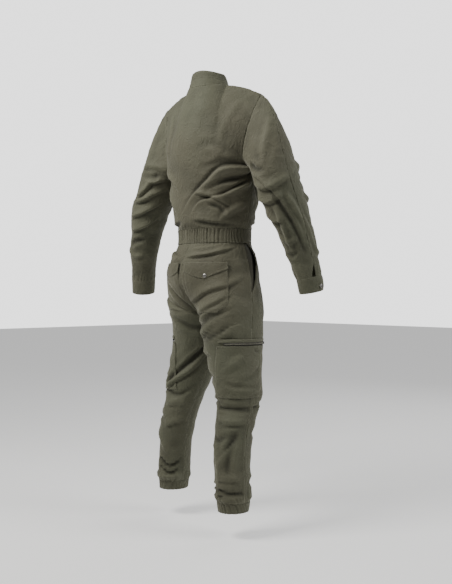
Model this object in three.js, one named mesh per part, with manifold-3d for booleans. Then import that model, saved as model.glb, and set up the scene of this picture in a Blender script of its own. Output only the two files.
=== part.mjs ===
// Motorcycle suit: a one-piece riding coverall of olive cotton twill, filled out as it is worn, with
// nobody in it. Millimetres, +Z up. The hips and legs face -Y, so the wearer's right is at -X.
// Lengths along the body are heights above the trouser hems; the finished group is lowered so that its
// origin is the middle of the collar seam, where the wearer's neck and shoulders carry the suit.
import * as THREE from 'three';
import Module from 'manifold-3d';
import { mergeVertices } from 'three/addons/utils/BufferGeometryUtils.js';

const wasm = await Module();
wasm.setup();

// ---- Driving dimensions -------------------------------------------------------------------------

const CLOTH = 1.4; // wall of one layer of twill
const BAND = 2.2; // wall of a doubled band: collar, waistband, cuff, hem
const SEAM = 0.15; // each piece stops this far short of the line where it is sewn
const LIFT = 0.5; // clear space under a piece that lies on a panel
const RIGHT = -1;
const LEFT = 1;

const ORIGIN_HEIGHT = 1398; // middle of the collar seam
const WAISTBAND_TOP = 925;
const WAISTBAND_FOOT = 877;
const HIP = 800; // the centre seam starts to turn under here
const CROTCH = 636;
const UNDERARM = 1122;
const TWIST = THREE.MathUtils.degToRad(8); // the chest is turned this far to the wearer's left
const TWIST_FROM = 860;
const TWIST_TO = 1120;

// ---- Body sections --------------------------------------------------------------------------------

// Half widths and the depths behind and before the middle line of the trunk.
const TRUNK = [
  { z: 636, width: 184, back: 141, front: 118, midY: 2 },
  { z: 700, width: 182, back: 148, front: 122, midY: 2 },
  { z: 745, width: 178, back: 151, front: 130, midY: 2 },
  { z: 800, width: 169, back: 146, front: 128, midY: 1 },
  { z: 850, width: 153, back: 128, front: 118, midY: 0 },
  { z: 877, width: 142, back: 115, front: 108, midY: 0 },
  { z: 925, width: 141, back: 114, front: 107, midY: 0 },
  { z: 948, width: 149, back: 127, front: 114, midY: 0 },
  { z: 1000, width: 157, back: 126, front: 120, midY: 1 },
  { z: 1060, width: 163, back: 123, front: 124, midY: 3 },
  { z: 1122, width: 172, back: 124, front: 126, midY: 6 },
  { z: 1200, width: 180, back: 124, front: 122, midY: 10 },
  { z: 1290, width: 186, back: 117, front: 108, midY: 14 },
  { z: 1400, width: 178, back: 98, front: 84, midY: 18 },
];

// Neck and shoulder line, before the twist.
const NECK = { width: 74, back: 64, front: 74, midY: 30, backZ: 1402, sideZ: 1408, frontZ: 1352 };
const SHOULDER = { x: 209, y: 14, z: 1360 };
const COLLAR = { height: 55, sideHeight: 37, frontHeight: 42, lean: 10 };

// Leg sections: middle point, half width across and half depth.
const LEGS = {
  [RIGHT]: [
    { z: 636, x: 99, y: 14, width: 98, depth: 119 },
    { z: 600, x: 103, y: 20, width: 98, depth: 112 },
    { z: 530, x: 118, y: 26, width: 87, depth: 99 },
    { z: 460, x: 132, y: 30, width: 79, depth: 88 },
    { z: 393, x: 147, y: 32, width: 73, depth: 81 },
    { z: 338, x: 155, y: 43, width: 66, depth: 73 },
    { z: 257, x: 165, y: 68, width: 61, depth: 66 },
    { z: 189, x: 172, y: 80, width: 58, depth: 62 },
    { z: 85, x: 178, y: 82, width: 55, depth: 60 },
    { z: 34, x: 181, y: 83, width: 49, depth: 54 },
    { z: 0, x: 182, y: 84, width: 46, depth: 50 },
  ],
  [LEFT]: [
    { z: 636, x: 97, y: -17, width: 95, depth: 114 },
    { z: 600, x: 98, y: -21, width: 92, depth: 106 },
    { z: 530, x: 108, y: -23, width: 83, depth: 94 },
    { z: 460, x: 123, y: -14, width: 78, depth: 86 },
    { z: 393, x: 134, y: 6, width: 70, depth: 76 },
    { z: 338, x: 141, y: 20, width: 62, depth: 67 },
    { z: 257, x: 160, y: 32, width: 58, depth: 62 },
    { z: 189, x: 172, y: 32, width: 56, depth: 60 },
    { z: 85, x: 181, y: 30, width: 54, depth: 58 },
    { z: 34, x: 184, y: 31, width: 48, depth: 53 },
    { z: 0, x: 185, y: 32, width: 45, depth: 49 },
  ],
};

// Sleeve sections down the arm, from the armpit to the cuff's edge: middle point before the twist,
// half width across the arm and half depth.
const ARMS = {
  [RIGHT]: [
    { z: 1112, x: 251, y: 0, width: 73, depth: 78 },
    { z: 1060, x: 262, y: -12, width: 71, depth: 76 },
    { z: 990, x: 278, y: -34, width: 66, depth: 71 },
    { z: 926, x: 289, y: -61, width: 58, depth: 62 },
    { z: 836, x: 298, y: -95, width: 49, depth: 52 },
    { z: 771, x: 308, y: -112, width: 42, depth: 45 },
    { z: 716, x: 312, y: -123, width: 39, depth: 42 },
  ],
  [LEFT]: [
    { z: 1112, x: 249, y: 6, width: 71, depth: 77 },
    { z: 1060, x: 273, y: 5, width: 69, depth: 74 },
    { z: 1010, x: 306, y: 1, width: 66, depth: 70 },
    { z: 948, x: 334, y: -10, width: 58, depth: 61 },
    { z: 865, x: 362, y: -24, width: 50, depth: 53 },
    { z: 783, x: 381, y: -39, width: 43, depth: 46 },
    { z: 714, x: 394, y: -52, width: 40, depth: 43 },
  ],
};

// ---- Small helpers --------------------------------------------------------------------------------

const lerp = THREE.MathUtils.lerp;
const smooth = (value) => THREE.MathUtils.smoothstep(value, 0, 1);
const vec = (x, y, z) => new THREE.Vector3(x, y, z);
const UP = vec(0, 0, 1);
const QUARTER = Math.PI / 2;

/** Whole numbers from 0 to count, with both ends. */
const steps = (count) => Array.from({ length: count + 1 }, (_, index) => index);

/** Reads every column of a table at one height, on a smooth curve through its rows. */
function sectionAt(table, z) {
  const rising = table[0].z < table.at(-1).z;
  const rows = rising ? table : [...table].reverse();
  let k = rows.findIndex((row) => row.z > z) - 1;
  if (k === -2) k = rows.length - 2;
  k = Math.max(k, 0);
  const [low, high] = [rows[k], rows[k + 1]];
  const before = rows[Math.max(k - 1, 0)];
  const after = rows[Math.min(k + 2, rows.length - 1)];
  const span = high.z - low.z;
  const t = (z - low.z) / span;
  const result = { z };
  for (const key of Object.keys(low)) {
    if (key === 'z') continue;
    const slopeLow = ((high[key] - before[key]) / (high.z - before.z)) * span;
    const slopeHigh = ((after[key] - low[key]) / (after.z - low.z)) * span;
    result[key] = hermite(low[key], slopeLow, high[key], slopeHigh, t);
  }
  return result;
}

/** One number on a cubic from a to b with the given slopes. */
function hermite(a, slopeA, b, slopeB, t) {
  const t2 = t * t;
  const t3 = t2 * t;
  return (
    a * (2 * t3 - 3 * t2 + 1) + slopeA * (t3 - 2 * t2 + t) + b * (3 * t2 - 2 * t3) + slopeB * (t3 - t2)
  );
}

/** A point on the cubic with four control points. */
function bezier(points, t) {
  const r = 1 - t;
  return vec(0, 0, 0)
    .addScaledVector(points[0], r * r * r)
    .addScaledVector(points[1], 3 * r * r * t)
    .addScaledVector(points[2], 3 * r * t * t)
    .addScaledVector(points[3], t * t * t);
}

/** Turns a point of the chest to the wearer's left, more the higher it is; the arms turn whole. */
function twisted(point, share = smooth((point.z - TWIST_FROM) / (TWIST_TO - TWIST_FROM))) {
  return point.applyAxisAngle(UP, TWIST * share);
}

// ---- Surfaces of the suit -------------------------------------------------------------------------
// Each is a function of two numbers that gives a point on the outside of the cloth.

/** Trunk: phi runs from 0 at the middle of the back to pi at the middle of the front. */
function trunkPoint(side, phi, z) {
  const row = sectionAt(TRUNK, z);
  const depth = phi < QUARTER ? row.back : row.front;
  return vec(side * row.width * Math.sin(phi), row.midY + depth * Math.cos(phi), z);
}

// The part of the top line that follows the neck; the rest is the shoulder seam.
const NECK_SHARE = 0.5;

/** Top line of a bodice from the middle of the neck to the shoulder point. */
function topLine(side, u, isBack) {
  const sideNeck = vec(side * NECK.width, NECK.midY, NECK.sideZ);
  if (u <= NECK_SHARE) {
    const turn = (u / NECK_SHARE) * QUARTER;
    const depth = isBack ? NECK.back : -NECK.front;
    const middleZ = isBack ? NECK.backZ : NECK.frontZ;
    const rise = isBack ? Math.sin(turn) ** 2 : 1 - Math.cos(turn) ** 1.4;
    const x = side * NECK.width * Math.sin(turn);
    return vec(x, NECK.midY + depth * Math.cos(turn), lerp(middleZ, NECK.sideZ, rise));
  }
  const t = (u - NECK_SHARE) / (1 - NECK_SHARE);
  const tip = vec(side * SHOULDER.x, SHOULDER.y, SHOULDER.z);
  return sideNeck.lerp(tip, t).add(vec(0, 0, 7 * Math.sin(Math.PI * t)));
}

/** Middle line of a bodice above the armpit. */
function middleLine(t, isBack) {
  const foot = trunkPoint(RIGHT, isBack ? 0 : Math.PI, UNDERARM);
  const neck = topLine(RIGHT, 0, isBack);
  const sway = isBack ? [142, 1215, 140, 1345] : [-130, 1195, -116, 1300];
  return bezier([foot, vec(0, sway[0], sway[1]), vec(0, sway[2], sway[3]), neck], t);
}

/** Armhole edge of a bodice from the armpit to the shoulder point. */
function armholeLine(side, t, isBack) {
  const armpit = trunkPoint(side, QUARTER, UNDERARM);
  const tip = vec(side * SHOULDER.x, SHOULDER.y, SHOULDER.z);
  const low = isBack ? vec(side * 158, 85, 1125) : vec(side * 154, -66, 1130);
  const high = isBack ? vec(side * 165, 85, 1240) : vec(side * 160, -66, 1240);
  return bezier([armpit, low, high, tip], t);
}

/** Bodice: u from 0 at the middle to 1 at the side, v from 0 at the waist over 1 at the armpit to 2. */
function bodicePoint(side, u, v, isBack) {
  if (v <= 1) {
    const phi = isBack ? u * QUARTER : Math.PI - u * QUARTER;
    return twisted(trunkPoint(side, phi, lerp(WAISTBAND_TOP, UNDERARM, v)));
  }
  const t = v - 1;
  const middle = middleLine(t, isBack);
  const edge = armholeLine(side, t, isBack);
  const turn = QUARTER * lerp(1, 0.62, smooth(t * 1.4));
  const base = (edge.y - middle.y * Math.cos(turn)) / (1 - Math.cos(turn));
  const point = vec(
    (edge.x * Math.sin(u * turn)) / Math.sin(turn),
    base + (middle.y - base) * Math.cos(u * turn),
    lerp(middle.z, edge.z, u ** 1.6),
  );
  return twisted(point.lerp(topLine(side, u, isBack), smooth((t - 0.3) / 0.7)));
}

/** A point of the armhole seam: turn 0 and 2 at the armpit, 1 at the shoulder, the back half first. */
function armholePoint(side, turn) {
  return turn <= 1 ? bodicePoint(side, 1, 1 + turn, true) : bodicePoint(side, 1, 3 - turn, false);
}

/** Directions of one sleeve section: down the arm, to the back and away from the body. */
function armAxes(side, z) {
  const ahead = sectionAt(ARMS[side], z - 5);
  const behind = sectionAt(ARMS[side], z + 5);
  const down = vec(side * (ahead.x - behind.x), ahead.y - behind.y, -10).normalize();
  const back = vec(0, 1, 0).addScaledVector(down, -down.y).normalize();
  const out = back.clone().cross(down).multiplyScalar(-side).normalize();
  return { down, back, out: out.multiplyScalar(out.x * side > 0 ? 1 : -1) };
}

/** Sleeve section at a height of the arm's middle: turn 0 and 2 face the body, 1 faces out. */
function armRing(side, turn, z) {
  const row = sectionAt(ARMS[side], z);
  const { back, out } = armAxes(side, z);
  const angle = (turn - 0.5) * Math.PI;
  return vec(side * row.x, row.y, z)
    .addScaledVector(out, row.width * Math.sin(angle))
    .addScaledVector(back, row.depth * Math.cos(angle));
}

const ARM_TOP = ARMS[RIGHT][0].z;

/** Sleeve: v from 0 at the armhole to 1 at the armpit's level, then on to 2 at the end of the cuff. */
function sleevePoint(side, turn, v) {
  const table = ARMS[side];
  if (v >= 1) return twisted(armRing(side, turn, lerp(ARM_TOP, table.at(-1).z, v - 1)), 1);
  const start = armholePoint(side, turn);
  const end = twisted(armRing(side, turn, ARM_TOP), 1);
  const reach = start.distanceTo(end);
  const overShoulder = Math.sin((turn * Math.PI) / 2) ** 2;
  const { down } = armAxes(side, ARM_TOP);
  const leave = vec(side, 0, lerp(-0.5, -0.62, overShoulder)).normalize();
  const point = vec(0, 0, 0);
  for (const axis of ['x', 'y', 'z']) {
    const slopeStart = leave[axis] * reach;
    point[axis] = hermite(start[axis], slopeStart, end[axis], down[axis] * reach, v);
  }
  return point;
}

/** Leg section: turn 0 and 2 at the inseam, 1 at the side seam. */
function legRing(side, turn, z) {
  const row = sectionAt(LEGS[side], z);
  const angle = (turn - 0.5) * Math.PI;
  return vec(side * (row.x + row.width * Math.sin(angle)), row.y + row.depth * Math.cos(angle), z);
}

/**
 * Trousers: turn 0 at the middle of the back or the inseam, 1 at the side seam, 2 at the middle of
 * the front; v from 0 at the waistband over 1 at the hip and 2 at the crotch to 3 at the hem.
 */
function trouserPoint(side, turn, v) {
  if (v >= 2) return legRing(side, turn, lerp(CROTCH, 0, v - 2));
  if (v <= 1) return trunkPoint(side, turn * QUARTER, lerp(WAISTBAND_FOOT, HIP, v));
  const t = v - 1;
  const nearSeam = Math.cos((turn * Math.PI) / 2) ** 6;
  const legShare = lerp(smooth(t), 1 - Math.cos(t * QUARTER), nearSeam);
  const seamZ = HIP - (HIP - CROTCH) * Math.sin(t * QUARTER);
  const sideZ = lerp(HIP, CROTCH, t);
  const z = lerp(sideZ, seamZ, nearSeam);
  const hip = trunkPoint(side, turn * QUARTER, z);
  const leg = legRing(side, turn, CROTCH);
  const point = hip.lerp(leg, legShare);
  point.z = z;
  point.x = side * Math.max(side * point.x, 0);
  return point;
}

// ---- Folds -----------------------------------------------------------------------------------------
// Each row is a trough (negative depth) or a ridge along a line on one surface, from one place to
// another in the surface's own two numbers; width is across the fold and depth at its middle, in mm.
const FOLDS = {
  back: [
    { side: RIGHT, fromU: 0.98, fromV: 0.86, toU: 0.5, toV: 0.88, width: 17, depth: -9 },
    { side: RIGHT, fromU: 0.55, fromV: 0.9, toU: 0.02, toV: 0.2, width: 16, depth: -6 },
    { side: RIGHT, fromU: 0.9, fromV: 0.7, toU: 0.1, toV: 0.36, width: 13, depth: -5 },
    { side: LEFT, fromU: 0.98, fromV: 0.86, toU: 0.4, toV: 0.45, width: 17, depth: -8 },
  ],
  front: [
    { side: RIGHT, fromU: 0.95, fromV: 0.85, toU: 0.35, toV: 0.45, width: 16, depth: -7 },
    { side: LEFT, fromU: 0.95, fromV: 0.85, toU: 0.35, toV: 0.45, width: 16, depth: -7 },
  ],
  sleeve: [
    { side: RIGHT, fromU: 0.2, fromV: 1.3, toU: 0.95, toV: 1.18, width: 15, depth: -7 },
    { side: RIGHT, fromU: 0.2, fromV: 1.38, toU: 0.9, toV: 1.54, width: 13, depth: -5 },
    { side: RIGHT, fromU: 1.2, fromV: 1.3, toU: 1.7, toV: 1.36, width: 15, depth: -7 },
    { side: LEFT, fromU: 0.2, fromV: 1.14, toU: 1.0, toV: 1.04, width: 15, depth: -7 },
    { side: LEFT, fromU: 0.2, fromV: 1.26, toU: 1.0, toV: 1.16, width: 15, depth: -7 },
    { side: LEFT, fromU: 0.2, fromV: 1.4, toU: 1.0, toV: 1.3, width: 14, depth: -6 },
    { side: LEFT, fromU: 1.2, fromV: 1.3, toU: 1.7, toV: 1.36, width: 15, depth: -7 },
  ],
  leg: [
    { side: RIGHT, fromU: 0.2, fromV: 2.5, toU: 0.98, toV: 2.47, width: 15, depth: -8 },
    { side: RIGHT, fromU: 0.3, fromV: 2.88, toU: 0.98, toV: 2.87, width: 12, depth: -6 },
    { side: RIGHT, fromU: 0.2, fromV: 1.9, toU: 0.8, toV: 1.45, width: 16, depth: -6 },
    { side: LEFT, fromU: 0.2, fromV: 2.5, toU: 0.98, toV: 2.47, width: 15, depth: -8 },
    { side: LEFT, fromU: 0.3, fromV: 2.88, toU: 0.98, toV: 2.87, width: 12, depth: -6 },
    { side: LEFT, fromU: 0.2, fromV: 1.9, toU: 0.8, toV: 1.45, width: 16, depth: -6 },
    { side: RIGHT, fromU: 1.1, fromV: 2.44, toU: 1.7, toV: 2.46, width: 15, depth: -6 },
    { side: LEFT, fromU: 1.1, fromV: 2.44, toU: 1.7, toV: 2.46, width: 15, depth: -6 },
  ],
};

/** How far the folds of one surface move a point of it along its normal. */
function foldDepth(folds, side, u, v, surface) {
  const point = surface(u, v);
  let depth = 0;
  for (const fold of folds.filter((row) => row.side === side)) {
    const spanU = fold.toU - fold.fromU;
    const spanV = fold.toV - fold.fromV;
    const share = ((u - fold.fromU) * spanU + (v - fold.fromV) * spanV) / (spanU ** 2 + spanV ** 2);
    const t = THREE.MathUtils.clamp(share, 0, 1);
    const nearest = surface(fold.fromU + spanU * t, fold.fromV + spanV * t);
    const taper = Math.sin(Math.PI * lerp(0.15, 0.85, t));
    depth += fold.depth * taper * Math.exp(-((point.distanceTo(nearest) / fold.width) ** 2));
  }
  return depth;
}

// ---- Cloth walls -----------------------------------------------------------------------------------

/** Outward normal of a surface; heart is a point inside the garment at the same place. */
function normalOf(surface, u, v, heart, range) {
  const d = 0.004;
  const [u0, u1] = [Math.max(u - d, range.u[0]), Math.min(u + d, range.u[1])];
  const [v0, v1] = [Math.max(v - d, range.v[0]), Math.min(v + d, range.v[1])];
  const alongU = surface(u1, v).sub(surface(u0, v));
  const alongV = surface(u, v1).sub(surface(u, v0));
  const normal = alongU.cross(alongV).normalize();
  const outward = surface(u, v).sub(heart);
  return normal.dot(outward) < 0 ? normal.negate() : normal;
}

/** The places of a panel, row by row: point on the outside, and normal. */
function gridOf(vLines, uLinesAt, placeAt) {
  return vLines.map((v) => uLinesAt(v).map((u) => placeAt(u, v)));
}

/** Moves the outermost places of a grid inwards by the seam's clearance. */
function trimmed(grid, { rows = SEAM, columns = SEAM } = {}) {
  const result = grid.map((row) => row.map((place) => ({ ...place, point: place.point.clone() })));
  const last = grid.length - 1;
  const end = grid[0].length - 1;
  const pull = (place, from, to, amount) => {
    const step = to.point.clone().sub(from.point);
    place.point.addScaledVector(step.normalize(), amount);
  };
  for (const j of grid[0].keys()) {
    if (rows > 0) pull(result[0][j], grid[0][j], grid[1][j], rows);
    if (rows > 0) pull(result[last][j], grid[last][j], grid[last - 1][j], rows);
  }
  for (const i of grid.keys()) {
    if (columns > 0) pull(result[i][0], grid[i][0], grid[i][1], columns);
    if (columns > 0) pull(result[i][end], grid[i][end], grid[i][end - 1], columns);
  }
  return result;
}

/** A closed cloth wall over a grid of places, its outer face lifted above them. */
function clothWall(name, grid, { wall = CLOTH, lift = 0, closed = false, finish = TWILL } = {}) {
  const rows = grid.length;
  const columns = grid[0].length;
  const positions = [];
  for (const height of [lift, lift - wall]) {
    for (const place of grid.flat()) {
      positions.push(...place.point.clone().addScaledVector(place.normal, height + (place.raise ?? 0)));
    }
  }
  const at = (i, j, layer) => layer * rows * columns + i * columns + (j % columns);
  const faces = [];
  const quad = (a, b, c, d) => faces.push(a, b, c, a, c, d);
  const spans = closed ? columns : columns - 1;
  for (let i = 0; i < rows - 1; i += 1) {
    for (let j = 0; j < spans; j += 1) {
      quad(at(i, j, 0), at(i, j + 1, 0), at(i + 1, j + 1, 0), at(i + 1, j, 0));
      quad(at(i, j, 1), at(i + 1, j, 1), at(i + 1, j + 1, 1), at(i, j + 1, 1));
    }
  }
  for (let j = 0; j < spans; j += 1) {
    quad(at(0, j, 1), at(0, j + 1, 1), at(0, j + 1, 0), at(0, j, 0));
    quad(at(rows - 1, j, 0), at(rows - 1, j + 1, 0), at(rows - 1, j + 1, 1), at(rows - 1, j, 1));
  }
  if (!closed) {
    const end = columns - 1;
    for (let i = 0; i < rows - 1; i += 1) {
      quad(at(i, 0, 0), at(i + 1, 0, 0), at(i + 1, 0, 1), at(i, 0, 1));
      quad(at(i, end, 1), at(i + 1, end, 1), at(i + 1, end, 0), at(i, end, 0));
    }
  }
  return meshOf(name, positions, faces, finish);
}

/** Signed volume of a closed triangle mesh. */
function volumeOf(positions, faces) {
  let sum = 0;
  for (let k = 0; k < faces.length; k += 3) {
    const [a, b, c] = [0, 1, 2].map((n) => vec(...positions.slice(3 * faces[k + n], 3 * faces[k + n] + 3)));
    sum += a.dot(b.cross(c));
  }
  return sum / 6;
}

/** A named mesh whose faces point outwards. */
function meshOf(name, positions, faces, finish) {
  const index = volumeOf(positions, faces) < 0 ? [...faces].reverse() : faces;
  const geometry = new THREE.BufferGeometry();
  geometry.setAttribute('position', new THREE.Float32BufferAttribute(positions, 3));
  geometry.setIndex(index);
  return namedMesh(name, geometry, finish);
}

/** A named mesh in its own material. */
function namedMesh(name, geometry, finish) {
  const mesh = new THREE.Mesh(geometry, new THREE.MeshStandardMaterial(finish));
  mesh.name = name;
  return mesh;
}

const TWILL = { color: 0x5f5c4b, roughness: 0.78, metalness: 0 };
const TWILL_DARK = { color: 0x44433a, roughness: 0.85, metalness: 0 };
const TAPE = { color: 0x2b2b28, roughness: 0.7, metalness: 0 };
const GUNMETAL = { color: 0x35353a, roughness: 0.4, metalness: 0.8 };
const NICKEL = { color: 0xb9bab4, roughness: 0.28, metalness: 0.9 };

const SIDE_NAME = { [RIGHT]: 'right', [LEFT]: 'left' };

// ---- Bodice and sleeves ------------------------------------------------------------------------------

const BODICE_ROWS = [0, 0.13, 0.3, 0.5, 0.68, 0.85, 1, 1.12, 1.25, 1.38, 1.5, 1.62, 1.75, 1.88, 2];
const BODICE_COLUMNS = [0, 0.13, 0.26, 0.39, NECK_SHARE, 0.63, 0.76, 0.88, 1];
const ARMHOLE_TURNS = BODICE_ROWS.filter((v) => v >= 1).map((v) => v - 1);
const FLY_TURN = 0.03;
const SLEEVE_ROWS = [0, 0.14, 0.3, 0.48, 0.7, 1, 1.09, 1.18, 1.27, 1.36, 1.46, 1.57, 1.67, 1.76, 1.81, 1.87];
const SLIT_TOP = 1.76;
const SLIT_WIDTH = 0.1; // in turns, at the cuff
const ARMHOLE_SEAM = 0.5;
const ARMPIT_EASE = 0.7; // the bodice keeps this far below the sleeve under the arm
const CUFF_TOP = 1.87;
const BACK_SEAM = 7; // sleeve column, counted from the armpit, where the back seam runs
const FRONT_SEAM = 13;

const heartOfTrunk = (v) => vec(0, 14, v <= 1 ? lerp(WAISTBAND_TOP, UNDERARM, v) : lerp(1120, 1290, v - 1));

/** Plain normal of a bodice. */
function bodiceNormal(side, u, v, isBack) {
  const surface = (a, b) => bodicePoint(side, a, b, isBack);
  return normalOf(surface, u, v, heartOfTrunk(v), { u: [0, 1], v: [0, 2] });
}

/** Plain normal of a sleeve. */
function sleeveNormal(side, turn, v) {
  const surface = (a, b) => sleevePoint(side, a, b);
  const heart = sleevePoint(side, turn, v).lerp(sleevePoint(side, 2 - turn, v), 0.5);
  const across = sleevePoint(side, (turn + 1) % 2, v);
  const range = { u: [-1, 3], v: [0, 2] };
  const wrapped = (a, b) => surface((a + 2) % 2, b);
  return normalOf(wrapped, turn, v, heart.lerp(across, 0.5), range);
}

/** Shared normal along the armhole, between the bodice's and the sleeve's. */
function armholeNormal(side, turn) {
  const isBack = turn <= 1;
  const v = isBack ? 1 + turn : 3 - turn;
  const sum = bodiceNormal(side, 1, v, isBack).add(sleeveNormal(side, turn % 2, 0));
  if (turn === 1) sum.add(bodiceNormal(side, 1, 2, false));
  if (turn % 2 === 0) sum.add(bodiceNormal(side, 1, 1, false));
  return sum.normalize();
}

/** One place on a bodice, with its folds. */
function bodicePlace(side, u, v, isBack) {
  const point = bodicePoint(side, u, v, isBack);
  if (u === 1 && v >= 1) {
    point.z -= ARMPIT_EASE * smooth((1.4 - v) / 0.3);
    return { point, normal: armholeNormal(side, isBack ? v - 1 : (3 - v) % 2) };
  }
  const normal = bodiceNormal(side, u, v, isBack);
  if (v === 2 && u >= NECK_SHARE) normal.add(bodiceNormal(side, u, v, !isBack)).normalize();
  const surface = (a, b) => bodicePoint(side, a, b, isBack);
  const free = Math.min(1, 8 * v, 8 * (2 - v), 8 * (1 - u) + (v < 1 ? 1 : 0));
  const depth = foldDepth(isBack ? FOLDS.back : FOLDS.front, side, u, v, surface) * free;
  return { point: point.addScaledVector(normal, u === 1 ? 0 : depth), normal };
}

/** Back bodice: one panel from side to side. */
function backBodice() {
  const columns = [...BODICE_COLUMNS.slice(1).map((u) => -u).reverse(), ...BODICE_COLUMNS];
  const grid = gridOf(
    BODICE_ROWS,
    () => columns,
    (u, v) => {
      const place = bodicePlace(u < 0 ? RIGHT : LEFT, Math.abs(u), v, true);
      if (u !== 0) return place;
      const other = bodicePlace(RIGHT, 0, v, true);
      place.point.lerp(other.point, 0.5);
      place.normal.add(other.normal).normalize();
      return place;
    },
  );
  return clothWall('back_bodice', trimmed(grid));
}

/** Front bodice of one side, from the zip to the side seam. */
function frontBodice(side) {
  const columns = [FLY_TURN, ...BODICE_COLUMNS.slice(1)];
  const grid = gridOf(BODICE_ROWS, () => columns, (u, v) => bodicePlace(side, u, v, false));
  return clothWall(`front_bodice_${SIDE_NAME[side]}`, trimmed(grid));
}

/** Turns of the sleeve's columns: those of the armhole, the back half first. */
const SLEEVE_TURNS = [...ARMHOLE_TURNS, ...ARMHOLE_TURNS.slice(0, -1).map((t) => 2 - t).reverse()];

/** One place on a sleeve, with its folds. */
function sleevePlace(side, turn, v) {
  const point = sleevePoint(side, turn, v);
  if (v === 0) return { point, normal: armholeNormal(side, turn) };
  const normal = sleeveNormal(side, turn % 2, v);
  const free = Math.min(1, 8 * v, 8 * (CUFF_TOP - v));
  const depth = foldDepth(FOLDS.sleeve, side, turn, v, (a, b) => sleevePoint(side, a, b)) * free;
  return { point: point.addScaledVector(normal, depth), normal };
}

/** Top and under sleeve, which meet in the back seam and the front seam. */
function sleeve(side) {
  const topTurns = SLEEVE_TURNS.slice(BACK_SEAM, FRONT_SEAM + 1);
  const underTurns = [...SLEEVE_TURNS.slice(FRONT_SEAM), ...SLEEVE_TURNS.slice(1, BACK_SEAM + 1)];
  const slitAt = (v) => SLIT_WIDTH * smooth((v - SLIT_TOP) / (CUFF_TOP - SLIT_TOP));
  return [
    ['top_sleeve', () => topTurns],
    ['under_sleeve', (v) => [...underTurns.slice(0, -1), underTurns.at(-1) - slitAt(v)]],
  ].map(([kind, turnsAt]) => {
    const grid = gridOf(SLEEVE_ROWS, turnsAt, (u, v) => sleevePlace(side, u, v));
    return clothWall(`${kind}_${SIDE_NAME[side]}`, trimmed(grid, { rows: ARMHOLE_SEAM }));
  });
}

// ---- Collar, waistband, cuffs and hems -----------------------------------------------------------------

const NECK_TURNS = BODICE_COLUMNS.filter((u) => u <= NECK_SHARE);

/** Height of the collar at a place on the neck line. */
const collarHeight = (u, isBack) =>
  lerp(isBack ? COLLAR.height : COLLAR.frontHeight, COLLAR.sideHeight, smooth(u / NECK_SHARE));

/** Collar: a band that stands on the neck line and is open at the front for the zip. */
function collar() {
  const half = (side) => [
    ...NECK_TURNS.map((u) => ({ side, u, isBack: true })),
    ...NECK_TURNS.slice(1, -1).reverse().map((u) => ({ side, u, isBack: false })),
    { side, u: FLY_TURN, isBack: false },
  ];
  const stations = [...half(RIGHT).slice(1).reverse(), ...half(LEFT)];
  const middle = twisted(vec(0, NECK.midY, ORIGIN_HEIGHT));
  const grid = [0, 0.33, 0.66, 1].map((share) =>
    stations.map(({ side, u, isBack }) => {
      const point = twisted(topLine(side, u, isBack));
      const normal = point.clone().sub(middle).setZ(0).normalize();
      const height = collarHeight(u, isBack);
      point.z += 2 * SEAM + share * height;
      point.addScaledVector(normal, -COLLAR.lean * share);
      return { point, normal };
    }),
  );
  return clothWall('collar', grid, { wall: BAND });
}

const BACK_GATHERS = 36;
const GATHER = 1.3; // a gather stands this far in and out of its band

/** One place on the waistband, phi from 0 at the middle of the back. */
function waistPlace(side, phi, z) {
  const point = trunkPoint(side, phi, z);
  const row = sectionAt(TRUNK, z);
  const normal = vec(point.x / row.width ** 2, (point.y - row.midY) / row.back ** 2, 0).normalize();
  return { point: twisted(point), normal: twisted(vec(normal.x, normal.y, z)).setZ(0).normalize() };
}

/** Waistband: an elastic gathered back half and two plain front halves. */
function waistbands() {
  const heights = [WAISTBAND_FOOT, (WAISTBAND_FOOT + WAISTBAND_TOP) / 2, WAISTBAND_TOP];
  const backGrid = heights.map((z) =>
    steps(2 * BACK_GATHERS).map((j) => {
      const phi = lerp(-QUARTER, QUARTER, j / (2 * BACK_GATHERS));
      const raise = j % 2 === 0 ? GATHER : -GATHER;
      return { ...waistPlace(phi < 0 ? RIGHT : LEFT, Math.abs(phi), z), raise };
    }),
  );
  const fronts = [RIGHT, LEFT].map((side) => {
    const turns = steps(8).map((j) => lerp(1, 2 - FLY_TURN, j / 8));
    const grid = heights.map((z) => turns.map((turn) => waistPlace(side, turn * QUARTER, z)));
    return clothWall(`front_waistband_${SIDE_NAME[side]}`, trimmed(grid), { wall: BAND });
  });
  return [clothWall('back_waistband', trimmed(backGrid), { wall: BAND }), ...fronts];
}

const SLIT_TURN = SLEEVE_TURNS[BACK_SEAM];
const CUFF_LAP = 0.22; // how far the under end of the cuff reaches below the top end, in turns
const CUFF_STEP = BAND + 0.8;
const CUFF_SNAP = { turn: 0.1, v: 1.955 };

/** Cuff: a band whose top end stops at the slit and closes over its under end with a snap. */
function cuff(side) {
  const placeAt = (past, v) => {
    const turn = (SLIT_TURN + past) % 2;
    const lap = 1 - smooth((past - 1.2 * CUFF_LAP) / 0.4);
    return { point: sleevePoint(side, turn, v), normal: sleeveNormal(side, turn, v), raise: 0.6 + CUFF_STEP * lap };
  };
  const pasts = steps(24).map((j) => (j / 24) * (2 + CUFF_LAP));
  const grid = [CUFF_TOP + 0.003, 1.935, 2].map((v) => pasts.map((past) => placeAt(past, v)));
  const snapPlace = placeAt(CUFF_SNAP.turn, CUFF_SNAP.v);
  const name = SIDE_NAME[side];
  return [
    clothWall(`cuff_${name}`, grid, { wall: BAND }),
    snapOn(`cuff_snap_${name}`, snapPlace, snapPlace.raise + LIFT + 0.3),
  ];
}

// The left leg stands a little higher, on the far side of the stride.
const HEM = { [RIGHT]: { top: 46, foot: 15 }, [LEFT]: { top: 54, foot: 23 } };
const HEM_GATHERS = 22;

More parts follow.
